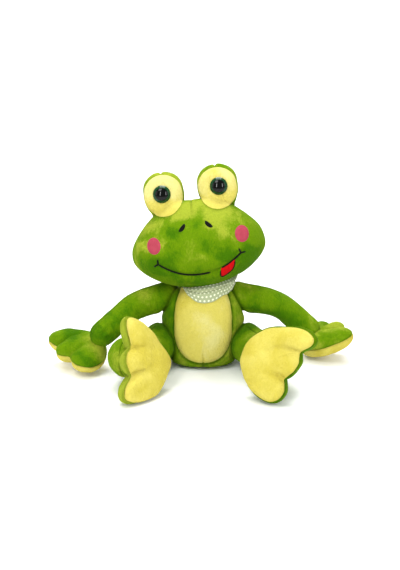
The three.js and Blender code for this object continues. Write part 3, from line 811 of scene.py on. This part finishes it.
pink_thread = thread("pink_thread", paint(184, 78, 92), paint(136, 36, 56), row=1.6)
black_thread = thread("black_thread", paint(14, 16, 12), paint(4, 5, 3), row=0.6)
red_felt = felt("red_felt", paint(206, 14, 18), paint(150, 3, 8))

# %% Cheeks, nostrils, mouth and tongue
CHEEK_ACROSS = {"right": -58.0, "left": 61.0}
CHEEK_UP = 10.0
CHEEK_HALF = (9.6, 11.6)
NOSTRIL_ACROSS = {"right": -17.5, "left": 19.5}
NOSTRIL_UP = 29.5
NOSTRIL_HALF = (7.0, 4.6)
NOSTRIL_FLATNESS = 0.3  # its upper side is nearly straight
NOSTRIL_SLANT = 46.0
STITCH_RADIUS = 1.25
LONG_STITCH_END = 12.0
TICK_LENGTH = 6.5
TICK_LEANS = {-1: (95, -25), 1: (108, 5)}  # each corner of the smile has two short ticks


def sewn_on(name, outline, middle, **settings):
    """A patch that lies on the head."""
    return laid_patch(name, head_skin, head_place, outline, middle, **settings)


for side, sign in SIDES.items():
    middle = np.array([CHEEK_ACROSS[side], CHEEK_UP])
    outline = oval(*middle, *CHEEK_HALF)
    cheek = sewn_on(f"cheek_patch_{side}", outline, middle, crown=1.1, sink=0.2, rings=14, power=10.0)
    outwards = (unplaced(corners_of(cheek), head_place)[:, [0, 2]] - middle) / CHEEK_HALF
    press(cheek, -0.5 * valley(np.linalg.norm(outwards, axis=1) - 0.8, 0.07))
    dress(cheek, pink_thread, "head", f"cheek_{side}")

    middle = np.array([NOSTRIL_ACROSS[side], NOSTRIL_UP])
    outline = oval(*middle, *NOSTRIL_HALF, slant=-sign * NOSTRIL_SLANT, count=40, upper=NOSTRIL_FLATNESS)
    nostril = sewn_on(f"nostril_patch_{side}", outline, middle, crown=1.0, sink=0.3, rings=7)
    dress(nostril, black_thread, "head", f"nostril_{side}")


def stitched_line(name, flat_points, radius=STITCH_RADIUS, lift=0.15, around=12):
    """A cord of close stitches along a line that is laid on the head."""
    flat_points = np.asarray(flat_points, float)
    hits, normals = laid_on(head_skin, head_place, flat_points)
    centre = hits + normals * lift
    side = unit(np.cross(unit(np.gradient(centre, axis=0)), normals))
    ends = np.minimum(np.arange(len(centre)), np.arange(len(centre))[::-1])
    size = radius * np.minimum(1, 0.45 + ends * 0.3)
    angle = circle(around)[:, None]
    across = side[:, None] * np.cos(angle) + normals[:, None] * 0.8 * np.sin(angle)
    return loft(name, centre[:, None] + size[:, None, None] * across)


def joined(name, pieces):
    """One mesh of several."""
    corners, faces, at = [], [], 0
    for piece in pieces:
        corners.append(corners_of(piece))
        faces += [tuple(at + i for i in face.vertices) for face in piece.data.polygons]
        at += len(corners[-1])
        bpy.data.objects.remove(piece)
    return closed_mesh(name, np.vstack(corners), faces)


def smile_stitch(name, start, end, corner_sign):
    across = np.linspace(start, end, 60)
    lines = [stitched_line("line", np.column_stack([across, smile_height(across)]))]
    corner = np.array([corner_sign * SMILE_HALF_WIDTH, SMILE_CORNER])
    for lean in np.radians(TICK_LEANS[corner_sign]):
        reach = np.array([np.cos(lean) * corner_sign, np.sin(lean)]) * TICK_LENGTH
        lines.append(stitched_line("line", corner + np.outer(np.linspace(-0.2, 1, 9), reach)))
    return joined(name, lines)


TONGUE_ACROSS = 37.2
TONGUE_WIDTH = 20.5
TONGUE_LENGTH = 13.5
TONGUE_SLIP = 3.5  # it hangs towards the middle of the chin
tongue_start, tongue_end = TONGUE_ACROSS - TONGUE_WIDTH / 2, TONGUE_ACROSS + TONGUE_WIDTH / 2
long_stitch = smile_stitch("smile_stitch_long", -SMILE_HALF_WIDTH, LONG_STITCH_END, -1)
dress(long_stitch, black_thread, "head", "mouth_stitch_long")
short_stitch = smile_stitch("smile_stitch_short", tongue_start + 1, SMILE_HALF_WIDTH, 1)
dress(short_stitch, black_thread, "head", "mouth_stitch_short")

top_edge = np.linspace(tongue_end, tongue_start, 25)
top_line = np.column_stack([top_edge, smile_height(top_edge) + 0.3])
turns = np.radians(np.linspace(180, 360, 41)[1:-1])
hang = np.abs(rounded(np.sin(turns), 3.2))
hang_across = TONGUE_ACROSS + (TONGUE_WIDTH / 2 + hang) * rounded(np.cos(turns), 4.5)
hang_up = smile_height(hang_across) - TONGUE_LENGTH * hang
hang_line = np.column_stack([hang_across - TONGUE_SLIP * hang, hang_up])
tongue_outline = np.vstack([top_line, hang_line])
tongue_middle = tongue_outline.mean(0)
tongue = sewn_on("tongue_felt", tongue_outline, tongue_middle, crown=1.3, sink=0.1, rings=12, power=8.0)
press(tongue, -0.7 * valley(unplaced(corners_of(tongue), head_place)[:, 0] - TONGUE_ACROSS + 0.5, 0.9))
dress(tongue, red_felt, "head", "tongue")
edge_line = tongue_middle + (hang_line - tongue_middle) * 0.99
tongue_edge = stitched_line("tongue_edge", edge_line, 0.8, lift=0.7)
dress(tongue_edge, black_thread, "head")
print("face stitched")

# %% [markdown]
# An arm or a leg is a stuffed tube along a gentle curve. Its first ring starts inside the torso, where it is a ball
# about the sewn joint, so the limb can swing without opening a gap. A seam runs along it, and the cloth puckers
# where it is gathered at the wrist, the ankle and the torso.

# %% Stuffed limbs
ARMS = {
    "right": [(-50, 2, 90), (-96, -21, 80), (-139, -45, 48)],
    "left": [(50, 2, 90), (106, 8, 75.5), (150, 10, 40)],
}
ARM_RADII = (21.0, 18.5, 16.5)
LEGS = {
    "right": [(-58, -15, 28.0), (-79, -64, 27.5), (-99, -110, 37.5)],
    "left": [(58, -15, 28.0), (79, -69, 29.5), (97, -122, 37.5)],
}
LEG_RADII = (28.5, 26.0, 27.0)
LIMB_SEAMS = np.radians([95, 275])
# Painted light on the toy's left side of the torso and low in front, and painted shade under its right arm.
TORSO_LIGHT_AND_SHADE_SPOTS = [((50, -35, 55), 36, 0.9), ((-50, -30, 75), 30, -0.8), ((-30, -45, 20), 20, 0.3)]


def stuffed_tube(name, route, radii, around=72, levels=56, caps=14):
    """A tube with round ends, and for each of its points the angle round it and the share of its length."""
    line = through(route, levels)
    size = through(np.array(radii)[:, None], levels)[:, 0]
    along = unit(np.gradient(line, axis=0))
    angle = circle(around)
    rings, where = [], []

    def ring(i, on=0.0):
        """A ring at the i-th place, or at a share of its radius beyond it, where the end is a ball."""
        up = unit(np.array([0, 0, 1.0]) - along[i] * along[i][2])
        across = np.outer(np.cos(angle), np.cross(up, along[i])) + np.outer(np.sin(angle), up)
        rings.append(line[i] + size[i] * (along[i] * on + math.sqrt(1 - on**2) * across))
        where.append(np.column_stack([angle, np.full(around, i % levels / (levels - 1) + on)]))

    leans = np.sin(np.radians(np.linspace(0, 90, caps + 1)[1:-1]))
    for on in -leans[::-1]:
        ring(0, on)
    for i in range(levels):
        ring(i)
    for on in leans:
        ring(-1, on)
    return loft(name, rings), np.vstack([where[0][:1], *where, where[-1][:1]])


def limb_seams(where, size, width):
    """The seams along both sides of a limb of that size, that wide."""
    angle, share = where.T
    return [valley((angle - seam) * size, width) * ramp(0.05, 0.2, share) for seam in LIMB_SEAMS]


def limb_relief(corners, where, seed, size):
    angle, share = where.T
    gathered = valley(share - 1.0, 0.13) * 0.55 + valley(share - 0.2, 0.12) * 0.35
    soft = lumps(corners, 26, seed) * 1.2 + lumps(corners, 11, seed + 1) * 0.45
    seams = sum(limb_seams(where, size, 1.3)) * 1.1
    return soft * ramp(-0.2, 0.2, share) + np.cos(angle * 11 + seed) * gathered - seams


def pull_in(piece, trees, pile_and_light, lines):
    """Pulls the cloth in where it is sewn to other forms, and shades it there and along its own seams."""
    closeness = near(corners_of(piece), trees, 4.0)
    press(piece, -2.2 * closeness)
    shade(piece, pile_and_light, np.maximum(lines, closeness**5 * 0.8))


limbs = []
for side, sign in SIDES.items():
    for kind, route, radii, girth, seed, fill in (
        ("arm", ARMS[side], ARM_RADII, 20, 11, 0.8),
        ("leg", LEGS[side], LEG_RADII, 28, 21, 0.85),
    ):
        limb, where = stuffed_tube(f"{kind}_sleeve_{side}", route, radii)
        corners, skin = corners_of(limb), [target(torso)]
        press(limb, limb_relief(corners, where, seed + sign, girth) * ramp(0, 8, corners[:, 2]))
        rest_on_floor(limb)
        # Painted shade on a leg near the torso; on every limb painted shade also falls along its seams and where it
        # meets the torso.
        pile_and_light = 0.2 - 1.3 * near(corners_of(limb), skin, 26) if kind == "leg" else -0.2
        pull_in(limb, skin, pile_and_light, np.maximum(*limb_seams(where, girth, 0.9)) * 0.8)
        dress(limb, green_plush, f"{kind}_{side}", f"{kind}_{side}", fill=fill)
        limbs.append(target(limb))
pull_in(torso, limbs, spots(corners_of(torso), TORSO_LIGHT_AND_SHADE_SPOTS), torso_seam_shade)
print("limbs made")

# %% [markdown]
# A hand or a foot is a flat pad of two cloths, green and yellow, sewn together round the edge. Its edge is drawn
# as a reach in each direction: long at the three digits and short between them. The filling makes it thick in
# the middle, and a crease runs in from each notch, where the digits press against each other. Angles and reaches
# are those of the pattern, and the creases are drawn on it in the same way.

# %% Hands and feet
HAND_REACH, FOOT_REACH = 60.0, 67.0
HAND_HALVES = {"above": 16.0, "below": 19.0}
FOOT_HALVES = {"above": 14.0, "below": 24.0}
PAD_FULLNESS = 0.6
CREASE_DEPTH = 5.5
UPPER_MARGIN = 1.045  # the green of a foot stands out round its yellow sole
WRIST_SWELL, WRIST_REACH = 9.0, 17.0  # the back of a hand rises to meet its arm
RIGHT_HAND = dict(
    edge=[
        (-170, 0.52), (-135, 0.5), (-105, 0.52), (-85, 0.58), (-70, 0.7), (-55, 0.78), (-41, 0.84),
        (-29, 0.81), (-18, 0.68), (-6, 0.57), (8, 0.63), (20, 0.67), (32, 0.62), (47, 0.55),
        (60, 0.7), (73, 0.84), (90, 0.92), (104, 0.88), (122, 0.77), (147, 0.62),
    ],
    creases=[
        [(-6, 0.62), (-9, 0.45), (-27, 0.3), (-75, 0.18)],
        [(47, 0.6), (55, 0.47), (70, 0.38), (100, 0.28)],
    ],
)
LEFT_HAND = dict(
    edge=[
        (-180, 0.52), (-140, 0.52), (-115, 0.58), (-92, 0.64), (-75, 0.77), (-58, 0.87), (-45, 0.85),
        (-33, 0.7), (-22, 0.62), (-8, 0.7), (4, 0.72), (16, 0.65), (26, 0.6), (38, 0.72),
        (52, 0.83), (68, 0.79), (90, 0.65), (128, 0.54),
    ],
    creases=[
        [(-24, 0.66), (-32, 0.46), (-40, 0.28), (-70, 0.15)],
        [(26, 0.62), (22, 0.45), (12, 0.3), (-10, 0.18)],
    ],
)
RIGHT_FOOT = dict(
    edge=[
        (-173, 0.55), (-145, 0.51), (-120, 0.61), (-98, 0.78), (-80, 0.92), (-71, 0.84), (-60, 0.6),
        (-48, 0.49), (-30, 0.53), (-10, 0.54), (8, 0.53), (17, 0.52), (22, 0.63), (26, 0.85),
        (33, 0.98), (46, 0.91), (64, 0.8), (88, 0.68), (116, 0.58), (145, 0.57), (165, 0.6),
    ],
    creases=[
        [(-48, 0.54), (-54, 0.42), (-80, 0.3), (-112, 0.22)],
        [(16, 0.56), (16, 0.42), (30, 0.26), (75, 0.14)],
    ],
)
LEFT_FOOT = dict(
    edge=[
        (-171, 0.66), (-138, 0.63), (-108, 0.67), (-84, 0.73), (-66, 0.72), (-52, 0.63), (-43, 0.51),
        (-36, 0.43), (-22, 0.46), (-6, 0.52), (10, 0.59), (22, 0.62), (29, 0.67), (31, 0.9),
        (36, 1.01), (46, 0.98), (60, 0.87), (80, 0.73), (108, 0.67), (140, 0.65), (165, 0.66),
    ],
    creases=[
        [(28, 0.7), (38, 0.56), (54, 0.43), (74, 0.33), (100, 0.22)],
        [(-36, 0.46), (-33, 0.35), (-44, 0.25), (-80, 0.2)],
    ],
)


def pattern(rows, reach):
    """Points across a pattern, from angles and shares of a reach."""
    angle, share = np.radians([row[0] for row in rows]), np.array([row[1] for row in rows]) * reach
    return np.column_stack([share * np.cos(angle), share * np.sin(angle)])


def crease_depth(flat, creases, reach):
    """How deep the creases are at each point, and the softer dip beside them."""
    sharp, soft = np.zeros(len(flat)), np.zeros(len(flat))
    for rows in creases:
        line = through(pattern(rows, reach), 40)
        gap = np.linalg.norm(flat[:, None] - line[None], axis=2)
        fade = 1 - 0.75 * ramp(0, 39, gap.argmin(axis=1).astype(float))
        sharp = np.maximum(sharp, valley(gap.min(axis=1), 2.3) * fade)
        soft = np.maximum(soft, valley(gap.min(axis=1), 8.0) * fade)
    return sharp, soft


def paw_half(name, cut, reach, halves, upward, wrist, levels=40, seam=0.15):
    """One cloth of a pad, closed by a flat underside at the seam."""
    outline = closed_through(pattern(cut["edge"], reach), 220)
    if name.startswith("foot_upper"):
        outline = outline * UPPER_MARGIN
    thickness = halves["above" if upward > 0 else "below"]
    count = len(outline)
    rings = [np.column_stack([outline * share, np.full(count, seam)]) for share in (0.3, 0.65, 0.94)]
    lines = [np.zeros(count)] * 3
    for lean in np.linspace(0, 90, levels + 1)[:-1]:
        rise = math.sin(math.radians(lean))
        share = math.cos(math.radians(lean)) ** PAD_FULLNESS - 0.02 * valley(lean, 6)
        flat = outline * share
        sharp, soft = crease_depth(flat, cut["creases"], reach)
        crease = sharp * (0.25 + 0.6 * rise) + 0.75 * soft * rise
        lift = thickness * rise - CREASE_DEPTH * crease
        if upward > 0:
            at_wrist = valley(np.linalg.norm(flat - wrist, axis=1), WRIST_REACH)
            lift += WRIST_SWELL * at_wrist * ramp(0, 0.7, rise)
        rings.append(np.column_stack([flat, np.maximum(lift, seam)]))
        # Painted shade in the creases and along the edge seam.
        lines.append(np.maximum(sharp * 0.2 + soft * 0.12, valley(lean, 7) * 0.5))
    rings = np.array(rings)
    rings[:, :, 2] *= upward
    return loft(name, rings), np.concatenate([[0.0], *lines, [0.0]])


def hand_matrix(middle, yaw, pitch, roll):
    place = Matrix.Translation(middle)
    for angle, axis in ((yaw, "Z"), (pitch, "Y"), (roll, "X")):
        place = place @ Matrix.Rotation(math.radians(angle), 4, axis)
    return place


def foot_matrix(middle, yaw, lean):
    toes = Vector((math.cos(math.radians(yaw)), math.sin(math.radians(yaw)), 0))
    sole = Vector((toes.y, -toes.x, 0)) * math.copysign(1, toes.x)
    width = sole.cross(toes)
    turn = Matrix((toes, width, sole)).transposed().to_4x4()
    return Matrix.Translation(middle) @ turn @ Matrix.Rotation(math.radians(-lean * width.z), 4, "X")


PAWS = [
    ("hand", "right", RIGHT_HAND, hand_matrix((-169, -29, 26), 198, 0, -15)),
    ("hand", "left", LEFT_HAND, hand_matrix((167, 12, 22), 25, -22, -6)),
    ("foot", "right", RIGHT_FOOT, foot_matrix((-73, -139, 42), 230, 20)),
    ("foot", "left", LEFT_FOOT, foot_matrix((86, -161, 47), -34, 20)),
]
PAW_LIE = {("hand_back", "left"): 0.3, ("foot_upper", "right"): 0.9}
for kind, side, cut, matrix in PAWS:
    reach, halves = (HAND_REACH, HAND_HALVES) if kind == "hand" else (FOOT_REACH, FOOT_HALVES)
    names = ("hand_back", "palm") if kind == "hand" else ("sole", "foot_upper")
    finishes = (green_plush, yellow_plush) if kind == "hand" else (yellow_plush, green_plush)
    for node, finish, upward in zip(names, finishes, (1, -1)):
        wrist = np.array(matrix.inverted() @ Vector(ARMS[side][-1]))[:2] if kind == "hand" else (1e3, 1e3)
        half, lines = paw_half(f"{node}_plush_{side}", cut, reach, halves, upward, wrist)
        pile_and_light = PAW_LIE.get((node, side), -0.5)
        # Painted light at the wrist and painted shade towards the finger tips.
        if (node, side) == ("hand_back", "right"):  # light at the wrist and darker towards the fingers
            pile_and_light = 0.8 - 1.2 * ramp(18, 48, np.linalg.norm(corners_of(half)[:, :2] - wrist, axis=1))
        shade(half, pile_and_light, lines)
        corners, seed = placed(corners_of(half), matrix), 31 + 2 * upward
        move_to(half, corners)
        press(half, lumps(corners, 22, seed) * 0.9 + lumps(corners, 9, seed + 1) * 0.35)
        rest_on_floor(half)
        dress(half, finish, f"{kind}_{side}", f"{node}_{side}", fill=0.75)
print("hands and feet made")

# %% [markdown]
# The neckerchief is a strip of dotted cotton round the neck. Its lower edge hangs lowest in the middle of the
# chest and rises to both sides, above the arms. Its upper edge is folded over into a soft roll that fills the
# room under the raised side of the head. Each column of points starts on the torso and ends under the head.

# %% Neckerchief
SCARF_EDGE = [  # across, and the height of the lower edge there
    (-32, 119), (-29, 115), (-25, 107.5), (-14, 97), (-4, 92.6), (9, 93), (21, 97.5), (30, 105.5),
    (35, 111), (40, 118), (46, 122),
]
SCARF_TOP = 125.0
SCARF_THICKNESS = 1.0
SCARF_COLUMNS, SCARF_ROWS = 260, 44
WEAVE, STRIPE_STEP = 0.7, 2.9
BODY_CORE = np.array([3.0, 2.0])
front_skins = [target(torso), target(belly)]


def reach_at(angle, height, furthest=90.0, nothing=30.0):
    """How far out the torso or the belly goes from the body's core, at an angle and a height."""
    out = Vector((math.cos(angle), math.sin(angle), 0))
    core = Vector((*BODY_CORE, height))
    hits = [tree.ray_cast(core + out * furthest, -out)[0] for tree in front_skins]
    return max([nothing] + [(hit - core).dot(out) for hit in hits if hit])


def evened(values, reach):
    """The mean with that many columns to both sides, round the neck."""
    return np.mean([np.roll(values, shift, axis=-1) for shift in range(-reach, reach + 1)], axis=0)


def scarf_columns():
    """For each column its angle, and the heights of its lower and upper ends."""
    columns = []
    edge = through(SCARF_EDGE, 200)
    for angle in np.linspace(0, 2 * math.pi, SCARF_COLUMNS, endpoint=False):
        out = np.array([math.cos(angle), math.sin(angle)])
        reach = 42.0
        for _ in range(4):
            low = np.interp((BODY_CORE + out * reach)[0], edge[:, 0], edge[:, 1])
            reach = reach_at(angle, low)
        middle = BODY_CORE + out * 39
        under_head = head_skin.ray_cast(Vector((*middle, 90)), Vector((0, 0, 1)))[0]
        top = min(SCARF_TOP, under_head.z - 0.6 if under_head else SCARF_TOP)
        columns.append((angle, low, max(top, low + 6)))
    angle, low, top = np.array(columns).T
    return angle, evened(low, 4), evened(top, 4)


def scarf_sheet():
    """Rows of points up the outside of the cloth, each once round the neck."""
    angle, low, top = scarf_columns()
    skin = lambda height: [reach_at(*at) for at in zip(angle, height)]
    fold = 0.62 + 0.04 * np.cos(angle)
    edge_reach = evened(np.maximum(skin(low), 37.0 + 4 * np.cos(angle)), 8)
    share = np.linspace(0, 1, SCARF_ROWS)[:, None]
    height = low + (top - low) * share
    reach = np.maximum([skin(row) for row in height], edge_reach + (36 - edge_reach) * share)
    roll = valley(share - fold - 0.2, 0.16) * (4.0 + 1.5 * np.cos(angle))
    tuck = valley(share - fold, 0.045) * 2.6 + 5 * ramp(0.86, 1.0, share)
    long_wrinkle = 0.5 * np.sin(angle * 9 + share * 7) * ramp(0.1, 0.5, share)
    short_wrinkle = 0.35 * np.sin(angle * 23 - share * 11)
    reach = np.maximum(reach, 33) + 1.6 + 2.2 * share + roll - tuck + long_wrinkle + short_wrinkle
    for _ in range(3):
        reach = evened(reach, 1)
    out = np.stack([np.cos(angle), np.sin(angle)], axis=-1)
    return np.dstack([BODY_CORE + out * reach[..., None], height])


def thick_sheet(name, grid, thickness):
    """A closed strip that goes once round, from the rows of points on its outer side."""
    along = np.roll(grid, -1, axis=1) - np.roll(grid, 1, axis=1)
    inner = grid - unit(np.cross(along, np.gradient(grid, axis=0))) * thickness
    rows = np.vstack([grid, inner[::-1]])
    numbers = np.arange(rows.size // 3).reshape(rows.shape[:2])
    return closed_mesh(name, rows.reshape(-1, 3), quads(np.vstack([numbers, numbers[:1]])))


def dotted(name, ground, dot, spacing=5.6, dot_size=2.7):
    """Cotton with thin stripes and rows of small dots, every other row moved by half a step."""
    finish = Finish(name, Roughness=0.9, Sheen_Weight=0.15, Sheen_Roughness=0.5, Sheen_Tint=ground)
    uv = finish.node("ShaderNodeUVMap", dict(uv_map="cloth"))["UV"]
    parts = finish.node("ShaderNodeSeparateXYZ", {}, {"Vector": uv})
    across, up = parts["X"] / spacing, parts["Y"] / spacing
    shift = up.maths("FLOOR").maths("MODULO", 2.0) * 0.5
    x = (across + shift).maths("FRACT") - 0.5
    y = up.maths("FRACT") - 0.5
    gap = (x * x + y * y).maths("SQRT") * spacing
    inside = 1.0 - gap.step(dot_size / 2 - 0.3, dot_size / 2 + 0.35)
    threads = [(parts[way] * (2 * math.pi / WEAVE)).maths("SINE") for way in "XY"]
    weave = threads[0] * threads[1]
    wear = finish.noise(5, 3.0)
    colour = finish.mix(wear * 0.35, ground, tuple(c * 0.8 for c in ground))
    stripe = (parts["Y"] / STRIPE_STEP).maths("FRACT").step(0.0, 0.18) * -0.35 + 0.35
    colour = finish.mix(stripe, colour, paint(176, 160, 158))
    colour = finish.mix(inside, colour, dot)
    return finish.surface(Base_Color=colour, Normal=finish.bump(weave * 0.5 + wear, 0.2, 0.5))


def lay_pattern(piece, grid):
    """Flat coordinates in millimetres: x round the neck and y up the cloth, on both of its sides."""
    rows, columns = grid.shape[:2]
    steps = lambda line: np.linalg.norm(np.diff(line, axis=0), axis=1)
    round_way = steps(grid[rows // 3]).sum() * (1 + 1 / columns)
    up_way = np.concatenate([[0.0], steps(grid[:, columns * 3 // 4]).cumsum()])
    heights = np.concatenate([up_way, up_way[::-1]])
    layer = piece.data.uv_layers.new(name="cloth")
    for face in piece.data.polygons:
        row, column = np.divmod(face.vertices, columns)
        column = np.where(column.max() - column > columns / 2, column + columns, column)
        for loop, across, up in zip(face.loop_indices, column / columns * round_way, heights[row]):
            layer.data[loop].uv = (across, up)
    return round_way, up_way[-1]


dotted_cotton = dotted("dotted_cotton", paint(160, 170, 130), paint(230, 234, 206))
grid = scarf_sheet()
scarf = thick_sheet("neckerchief_cotton", grid, SCARF_THICKNESS)
round_way, up_way = lay_pattern(scarf, grid)
scarf.data.materials.append(dotted_cotton.material)
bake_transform(scarf)
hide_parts("neckerchief")
print("neckerchief:", round(round_way), "x", round(up_way, 1), "mm")

# %% [markdown]
# Behind the neck the kerchief's two ends are tied. The knot is a small round lump with the turns of the cloth
# pressed into it, and each end is a thin tapered strip that hangs over the back and curls a little.

# %% Knot and tails
KNOT_MIDDLE = np.array([0.0, 50.4, 101.0])
KNOT_HALF = np.array([11.0, 8.0, 8.0])
TAIL_LENGTH = 34.0
TAIL_HALF_WIDTH = 8.0
TAIL_SPLAY, TAIL_LEAN = 24.0, 7.0


def knot_rings(around=64, levels=40):
    angle = circle(around)
    rings = []
    for lean in np.radians(np.linspace(-90, 90, levels + 2)[1:-1]):
        turns = 1 + 0.07 * np.cos(angle * 2 + lean * 5) - 0.1 * valley(np.sin(angle + lean * 1.6), 0.16)
        flat = math.cos(lean) * turns
        across = np.full(around, math.sin(lean))
        ring = np.column_stack([across, flat * np.cos(angle), flat * np.sin(angle)])
        rings.append(KNOT_MIDDLE + ring * KNOT_HALF)
    return rings


def tail_rings(sign, levels=30, across_count=14):
    """A thin strip with a fold down its middle, as rings round its section."""
    across = np.linspace(-1, 1, across_count)
    splay, lean = math.radians(-TAIL_SPLAY) * sign, math.radians(TAIL_LEAN)
    turn = Matrix.Rotation(splay, 3, "Y") @ Matrix.Rotation(lean, 3, "X")
    rings = []
    for share in np.linspace(0.08, 1, levels):
        half = TAIL_HALF_WIDTH * (0.42 + 0.58 * ramp(0, 0.7, share)) * (1 - 0.3 * ramp(0.85, 1.0, share))
        point_down = (1 - np.abs(across)) * 5.0 * ramp(0.6, 1, share)
        fold = 1.6 * np.cos(across * 3.1) * (1.2 - share) + 1.0 * math.sin(share * 5) + 1.4 * share**2
        down = -TAIL_LENGTH * share * 0.86 - point_down
        front, back = (np.column_stack([across * half, fold + out, down]) for out in (-0.5, 0.5))
        ring = np.vstack([front, back[::-1]])
        rings.append(KNOT_MIDDLE + ring @ np.array(turn).T)
    return rings


pieces = [loft("knot_lump", knot_rings())] + [loft("tail", tail_rings(sign)) for sign in (-1, 1)]
knot = joined("neckerchief_knot_cotton", pieces)
layer = knot.data.uv_layers.new(name="cloth")
for loop in knot.data.loops:
    corner = knot.data.vertices[loop.vertex_index].co / MM
    layer.data[loop.index].uv = (corner.x, corner.z)
dress(knot, dotted_cotton, "torso", "neckerchief_knot")
round(round_way * MM, 3)
round(up_way * MM, 3)
print("knot:", len(knot.data.vertices), "points")

# %% [markdown]
# The locking washers behind the yellow fronts are plain moulded rings, so they stay as the solid model has them
# and get a pale slightly mottled plastic.

# %% Eye washers
washer_finish = Finish("washer_plastic", Roughness=0.45, IOR=1.46)
mottle = washer_finish.noise(2.5, 2.0)
washer_finish.surface(Base_Color=washer_finish.mix(mottle, paint(236, 236, 230), paint(246, 246, 242)))
for side in SIDES:
    washer = bpy.data.objects[f"eye_washer_{side}"]
    washer.data.materials.clear()
    washer.data.materials.append(washer_finish.material)


# %% [markdown]
# The photograph was taken on white with soft light from all round and a stronger one from above, so the shadows
# are faint. A pale floor that curves up behind the toy, a large light above it, a key light in front, a fill from
# each side, a light on the backdrop and a bright sky give the same look. Two narrow lights are there for the
# plastic eyes, which mirror them as small bright spots.

# %% Floor, light and air
def pale_finish(name, colour):
    finish = Finish(name, Roughness=0.9)
    wear = finish.noise(400, 1.0)
    return finish.surface(Base_Color=finish.mix(wear * 0.3, colour, paint(250, 250, 250)))


BACKDROP = [(-2000, 0), (900, 0), (1250, 60), (1480, 240), (1600, 560), (1620, 1000), (1620, 1600)]
STEPS = 60
line = through(BACKDROP, STEPS)
corners = np.vstack([np.column_stack([np.full(STEPS, x), line]) for x in (-2400, 2400)])
floor = make_mesh("floor", corners, [(i, i + 1, STEPS + i + 1, STEPS + i) for i in range(STEPS - 1)])
floor.data.materials.append(pale_finish("pale_floor", paint(255, 255, 255)).material)


def area_light(name, place, watts, width, height, aim=(0, -40, 110)):
    light = bpy.data.lights.new(name, "AREA")
    light.shape = "RECTANGLE"
    light.energy, light.size, light.size_y = watts, width * MM, height * MM
    lamp = bpy.data.objects.new(name, light)
    lamp.location = Vector(place) * MM
    lamp.rotation_euler = (Vector(aim) * MM - lamp.location).to_track_quat("-Z", "Y").to_euler()
    bpy.context.scene.collection.objects.link(lamp)


area_light("key", (-450, -850, 1350), 9.5, 600, 600)
area_light("fill_left", (-1300, -700, 600), 3.5, 900, 900)
area_light("fill_right", (1300, -700, 700), 4, 900, 900)
area_light("top", (0, 100, 1500), 11, 900, 900)
area_light("strip_left", (-340, -1180, 560), 4.2, 90, 600)
area_light("strip_right", (620, -1060, 560), 4.2, 90, 600)
area_light("on_backdrop", (0, 500, 1700), 24, 1200, 500, aim=(0, 1600, 200))
world = bpy.data.worlds.new("air")
world.use_nodes = True
sky = world.node_tree.nodes["Background"].inputs
sky["Color"].default_value = (1, 1, 1, 1)
sky["Strength"].default_value = 0.42
bpy.context.scene.world = world
bpy.context.scene.view_settings.view_transform = "Standard"
